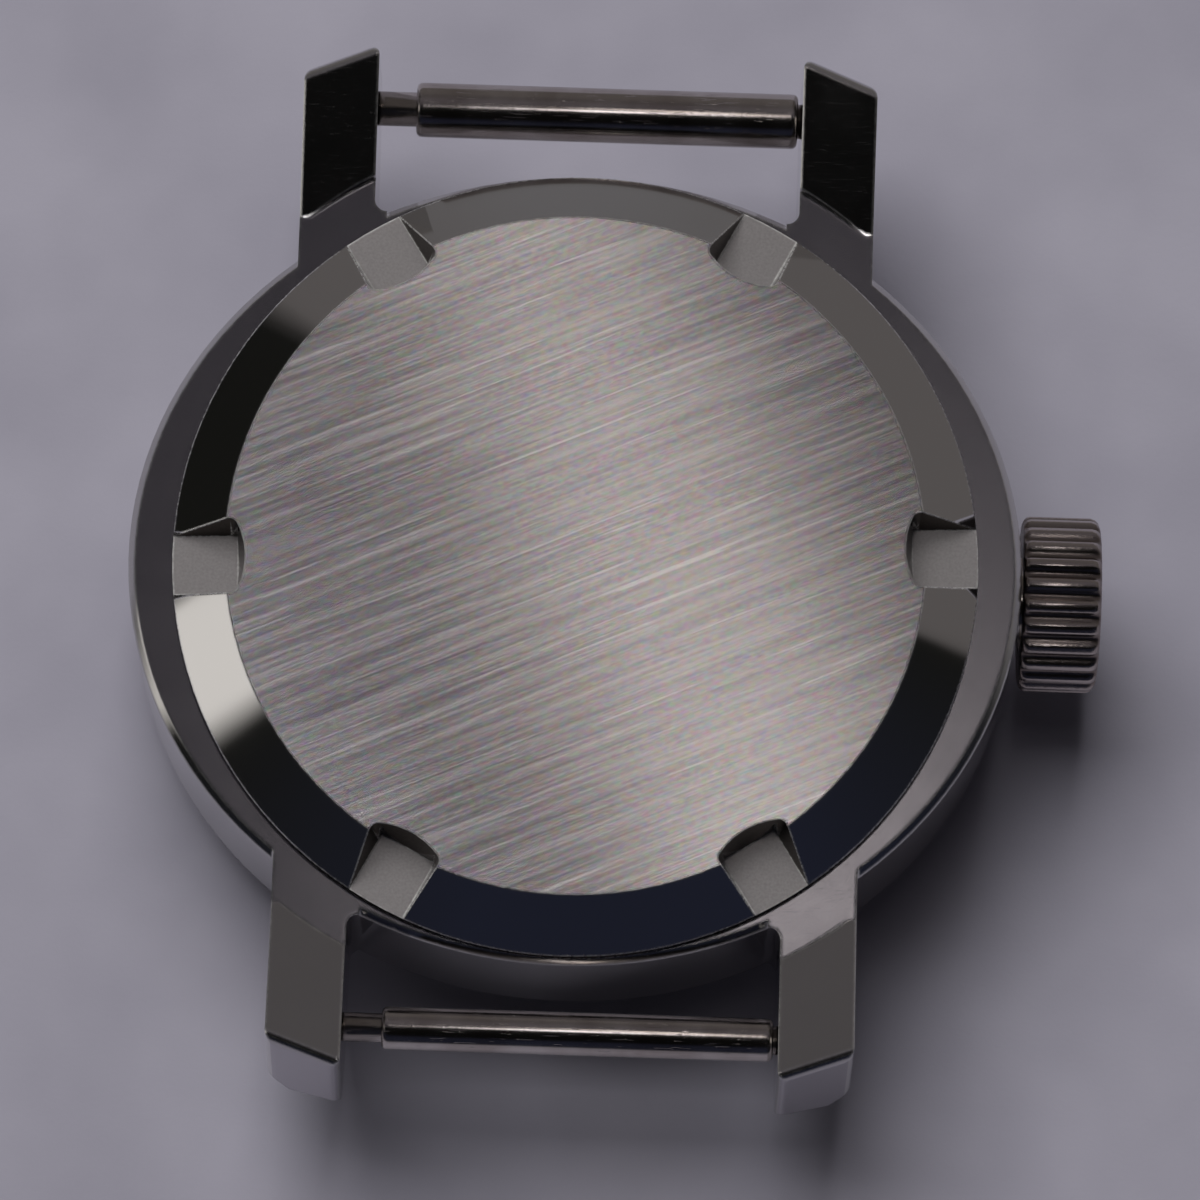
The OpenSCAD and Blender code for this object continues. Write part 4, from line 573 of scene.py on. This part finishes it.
colour = share(tree, turned["Tone"], 0.3, colour, (0.66, 0.62, 0.6))
# Painted highlight: the worn, rounded edges are lightened
colour = share(tree, edge["WearAndHighlight"], 0.5, colour, (0.85, 0.82, 0.8))
rough = sums(tree, "MULTIPLY_ADD", hair["Cloud"], 0.08, 0.09)
rough = sums(tree, "MULTIPLY_ADD", turned["Tone"], 0.08, rough)
relief = sums(tree, "MULTIPLY_ADD", turned["Tone"], 0.5, sums(tree, "MULTIPLY", hair["Mask"], -0.5))
surface(tree, shader, colour, rough, relief, 0.006, edge["Normal"])


def turned_piece(name, body, node, y, profile, way=1):
    """A piece turned about a bar's axis from (x, radius) points, replacing its CAD node."""
    piece, shape, how = new_piece(name, body, bar_steel)
    angles = [a * math.tau / BAR_SIDES for a in range(BAR_SIDES)]
    rows = [[(way * x, y + r * math.cos(a), BAR_Z + r * math.sin(a)) for a in angles] for x, r in profile]
    skin_rows(shape, rows)
    bmesh.ops.remove_doubles(shape, verts=shape.verts, dist=0.001 * MM)
    close_piece(piece, shape, how)
    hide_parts(node)
    paint(nodes[node], bar_steel)


left = BAR_END - BAR_RIGHT_GAP - BAR_LENGTH
far_end = left + BAR_LENGTH
for side, (y, tube_r, pin_r) in BARS.items():
    bore_r = tube_r - TUBE_WALL
    lip_r = pin_r + BAR_PLAY
    outer = [(left, lip_r)] + [(left + inset, tube_r - come_in) for inset, come_in in ROLLED]
    outer += [(far_end - inset, tube_r - come_in) for inset, come_in in reversed(ROLLED)]
    inner = [(far_end, lip_r), (far_end - LIP_END, lip_r), (far_end - BORE_FROM, bore_r),
             (left + BORE_FROM, bore_r), (left + LIP_END, lip_r), (left, lip_r)]
    turned_piece(f"{side}_rolled_tube", f"{side}_bar", f"{side}_bar_tube", y, outer + inner)
    shoulder = left + BORE_FROM
    shoulder_r = bore_r - BAR_PLAY
    shoulder_end = shoulder + SHOULDER_LENGTH
    pivot = [(-PIVOT_TIP, 0), (-PIVOT_TIP, pin_r - PIN_ROUND), (-PIVOT_TIP + PIN_ROUND, pin_r),
             (shoulder - 0.02, pin_r), (shoulder, shoulder_r - 0.03),
             (shoulder + SHOULDER_ROUND, shoulder_r), (shoulder_end - SHOULDER_ROUND, shoulder_r),
             (shoulder_end, shoulder_r - SHOULDER_ROUND), (shoulder_end, 0)]
    for hand, way in (("left", 1), ("right", -1)):
        turned_piece(f"{side}_{hand}_turned_pivot", f"{side}_{hand}_pivot", f"{side}_bar_{hand}_pivot",
                     y, pivot, way)


# Springs are drawn wire or rolled strip of bright hardened steel, with the drawing marks along them.
# The balance's spring is heated until it turns blue.
def drawn_steel(name, low, high, rough_low):
    """Bright spring steel with fine marks and a faint change of tint."""
    material, tree, shader = finish(name, Metallic=1.0)
    place = place_mm(tree)
    marks = noise(tree, place, 6.0, 5)
    edge = use(tree, soft_edges, Radius=0.015 * MM)
    colour = ramp(tree, marks, [(0.35, low), (0.7, high)])
    # Painted highlight: the rounded edges are lightened
    colour = share(tree, edge["WearAndHighlight"], 0.4, colour, (0.9, 0.9, 0.92))
    rough = sums(tree, "MULTIPLY_ADD", marks, 0.2, rough_low)
    surface(tree, shader, colour, rough, marks, 0.003, edge["Normal"])
    return material


spring_steel = drawn_steel("spring_steel", (0.6, 0.6, 0.61), (0.8, 0.8, 0.8), 0.1)
blued_steel = drawn_steel("blued_steel", (0.02, 0.045, 0.2), (0.05, 0.1, 0.38), 0.08)
for name in ("upper_bar_spring", "lower_bar_spring", "mainspring", "click_spring"):
    paint(nodes[name], spring_steel)
for name in ("hairspring", "ratchet_screw", "movement_screws"):
    paint(nodes[name], blued_steel)


# The crystal is a clear moulded plate with a turned skirt. A steel tension ring inside the skirt presses
# it into the bezel. Its face has the light hairlines of wear.
crystal_glass, tree, shader = finish("crystal_glass", Base_Color=(0.96, 0.98, 0.98), IOR=1.49,
                                     Transmission_Weight=1.0)
place = place_mm(tree)
hair = use(tree, hairlines, Place=place, Size=1.0)
tree.links.new(sums(tree, "MULTIPLY_ADD", hair["Mask"], 0.12, 0.01), shader.inputs["Roughness"])
scuff = add(tree, "ShaderNodeBump", {"Height": hair["Mask"], "Strength": 0.3, "Distance": 0.002 * MM})
tree.links.new(scuff.outputs[0], shader.inputs["Normal"])
paint(nodes["crystal"], crystal_glass)


# The dial is a thin brass disc under smooth cream lacquer, with a printed minute track and twelve
# applied bars. It carries no name.
TRACK_RADIUS = 7.55
TRACK_HALF = 0.2
TRACK_WIDTH = 0.035
FIVE_MINUTE_WIDTH = 2.4 * TRACK_WIDTH
TRACK_SIDES = 180
DIAL_FACE = 2.7
PRINT_HEIGHT = 0.012
dial_lacquer, tree, shader = finish("dial_lacquer", Coat_Weight=0.4, Coat_Roughness=0.1)
place = place_mm(tree)
_, radius = rings(tree, place)
age = noise(tree, place, 0.5, 6)
fine = noise(tree, place, 30.0)
cream = ramp(tree, age, [(0.35, (0.78, 0.75, 0.66)), (0.65, (0.86, 0.84, 0.77))])
cream = blend(tree, steps(tree, radius, 5.5, 9.3), cream, (0.74, 0.69, 0.57))
surface(tree, shader, cream, sums(tree, "MULTIPLY_ADD", fine, 0.1, 0.3), fine, 0.002)
paint(nodes["dial"], dial_lacquer)
print_ink, tree, shader = finish("print_ink")
ink_tone = noise(tree, place_mm(tree), 20.0)
surface(tree, shader, ramp(tree, ink_tone, [(0.3, (0.01, 0.01, 0.012)), (0.7, (0.03, 0.03, 0.034))]),
        ramp(tree, ink_tone, [(0.3, 0.35), (0.7, 0.5)]), ink_tone, 0.001)
track, shape, how = new_piece("minute_track", "case", print_ink, smooth=False)
top, foot = DIAL_FACE - PRINT_HEIGHT, DIAL_FACE
angles = [a * math.tau / TRACK_SIDES for a in range(TRACK_SIDES)]
for inside in (TRACK_RADIUS - TRACK_HALF, TRACK_RADIUS + TRACK_HALF):
    outside = inside + TRACK_WIDTH
    skin_rows(shape, [[(r * math.cos(a), r * math.sin(a), z) for a in angles]
                      for r, z in ((inside, foot), (inside, top), (outside, top), (outside, foot))])
for minute in range(60):
    half = (TRACK_WIDTH if minute % 5 else FIVE_MINUTE_WIDTH) / 2
    spoke = Matrix.Rotation(minute * math.tau / 60, 3, "Z")
    corners = [(TRACK_RADIUS - TRACK_HALF, -half), (TRACK_RADIUS + TRACK_HALF, -half),
               (TRACK_RADIUS + TRACK_HALF, half), (TRACK_RADIUS - TRACK_HALF, half)]
    skin_rows(shape, [[spoke @ Vector((x, y, z)) for x, y in corners] for z in (foot, top)], capped=True)
close_piece(track, shape, how)


# The hands, the applied bars and the movement's plates and ring are brass under a fine frosted gilding.
# The plates were stoned flat, bead blasted and gilded, so they glow softly and only their edges gleam.
def gilding(name, low, high, rough_low, relief):
    """Gilded brass with a frost of fine grains."""
    material, tree, shader = finish(name, Metallic=1.0)
    place = place_mm(tree)
    grains = noise(tree, place, 22.0, 3)
    tint = ramp(tree, noise(tree, place, 0.6, 3), [(0.35, low), (0.65, high)])
    edge = use(tree, soft_edges, Radius=0.03 * MM)
    colour = share(tree, grains, 0.3, tint, (0.95, 0.85, 0.62))
    # Painted highlight: the worn, rounded edges are lightened
    colour = share(tree, edge["WearAndHighlight"], 0.6, colour, (0.98, 0.9, 0.7))
    rough = sums(tree, "MULTIPLY_ADD", grains, 0.2, rough_low)
    surface(tree, shader, colour, rough, grains, relief, edge["Normal"])
    return material


frosted_gilt = gilding("frosted_gilt", (0.74, 0.56, 0.3), (0.83, 0.66, 0.39), 0.26, 0.01)
hand_gilt = gilding("hand_gilt", (0.8, 0.6, 0.3), (0.88, 0.7, 0.4), 0.1, 0.002)
for name in ("hour_markers", "hour_hand", "minute_hand"):
    paint(nodes[name], hand_gilt)
for name in ("mainplate", "barrel_bridge", "train_bridge", "pallet_bridge", "balance_cock", "movement_ring"):
    paint(nodes[name], frosted_gilt)


# The wheels are cut from hard brass sheet, or from steel for winding and for the escape, and finished
# with circular grain about their arbors. A wheel and the leaves on its arbor show the same metal here.
# The crystal's ring and the crown's washer are turned, and share these grains.
def grained(name, low, high, centre):
    """Metal with circular grain about an upright axis at centre, in millimetres."""
    material, tree, shader = finish(name, Metallic=1.0, Anisotropic=0.4)
    place = place_mm(tree)
    from_centre = (-centre[0], -centre[1], 0)
    moved = add(tree, "ShaderNodeVectorMath", {0: place, 1: from_centre}, operation="ADD").outputs[0]
    circles, _ = rings(tree, moved)
    turned = use(tree, streaks, Place=circles, Fineness=12.0, Length=0.4)
    edge = use(tree, soft_edges, Radius=0.02 * MM)
    colour = ramp(tree, turned["Tone"], [(0.35, low), (0.68, high)])
    # Painted highlight: the rounded edges are lightened
    colour = share(tree, edge["WearAndHighlight"], 0.6, colour, high)
    rough = sums(tree, "MULTIPLY_ADD", turned["Tone"], 0.25, 0.1)
    surface(tree, shader, colour, rough, turned["Tone"], 0.004, edge["Normal"])
    return material


BRASS_LOW, BRASS_HIGH = (0.62, 0.44, 0.18), (0.85, 0.66, 0.33)
STEEL_LOW, STEEL_HIGH = (0.5, 0.5, 0.49), (0.8, 0.79, 0.78)


def middle_of(node):
    """The middle of a node's box seen from the back, in millimetres."""
    low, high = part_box(node)
    return ((low[0] + high[0]) / 2 / MM, (low[1] + high[1]) / 2 / MM)


for name in ("barrel_drum", "center_wheel", "third_wheel", "fourth_wheel", "balance_wheel",
             "minute_wheel", "hour_wheel", "setting_wheel", "crown_washer"):
    paint(nodes[name], grained(name + "_grain", BRASS_LOW, BRASS_HIGH, middle_of(name)))
for name in ("ratchet_wheel", "crown_wheel", "escape_wheel", "tension_ring"):
    paint(nodes[name], grained(name + "_grain", STEEL_LOW, STEEL_HIGH, middle_of(name)))


# The small steel parts of the movement are filed, hardened and polished flat, with straight fine lines
# left by the stone. The crown tube and the stem are turned from the same steel.
polished_steel, tree, shader = finish("polished_steel", Metallic=1.0)
place = place_mm(tree)
lines = use(tree, streaks, Place=place, Fineness=14.0, Length=0.5)
edge = use(tree, soft_edges, Radius=0.02 * MM)
colour = ramp(tree, lines["Tone"], [(0.35, (0.56, 0.55, 0.54)), (0.7, (0.78, 0.77, 0.76))])
# Painted highlight: the rounded edges are lightened
colour = share(tree, edge["WearAndHighlight"], 0.6, colour, (0.9, 0.9, 0.89))
rough = sums(tree, "MULTIPLY_ADD", lines["Tone"], 0.18, 0.06)
surface(tree, shader, colour, rough, lines["Tone"], 0.002, edge["Normal"])
for name in ("crown_tube", "winding_stem", "casing_clamps", "barrel_arbor", "click", "pallet_fork",
             "regulator", "winding_pinion", "clutch_wheel", "setting_lever", "yoke", "setting_bridge",
             "cannon_pinion"):
    paint(nodes[name], polished_steel)


# The bearings are pierced discs of clear red stone, ground and polished, pressed into the plates.
jewel_stone, tree, shader = finish("jewel_stone", IOR=1.76, Transmission_Weight=0.6, Coat_Weight=0.3)
place = place_mm(tree)
veil = noise(tree, place, 4.0, 4)
surface(tree, shader, ramp(tree, veil, [(0.35, (0.55, 0.02, 0.09)), (0.7, (0.78, 0.07, 0.18))]),
        sums(tree, "MULTIPLY_ADD", veil, 0.08, 0.03), veil, 0.001)
paint(nodes["jewels"], jewel_stone)
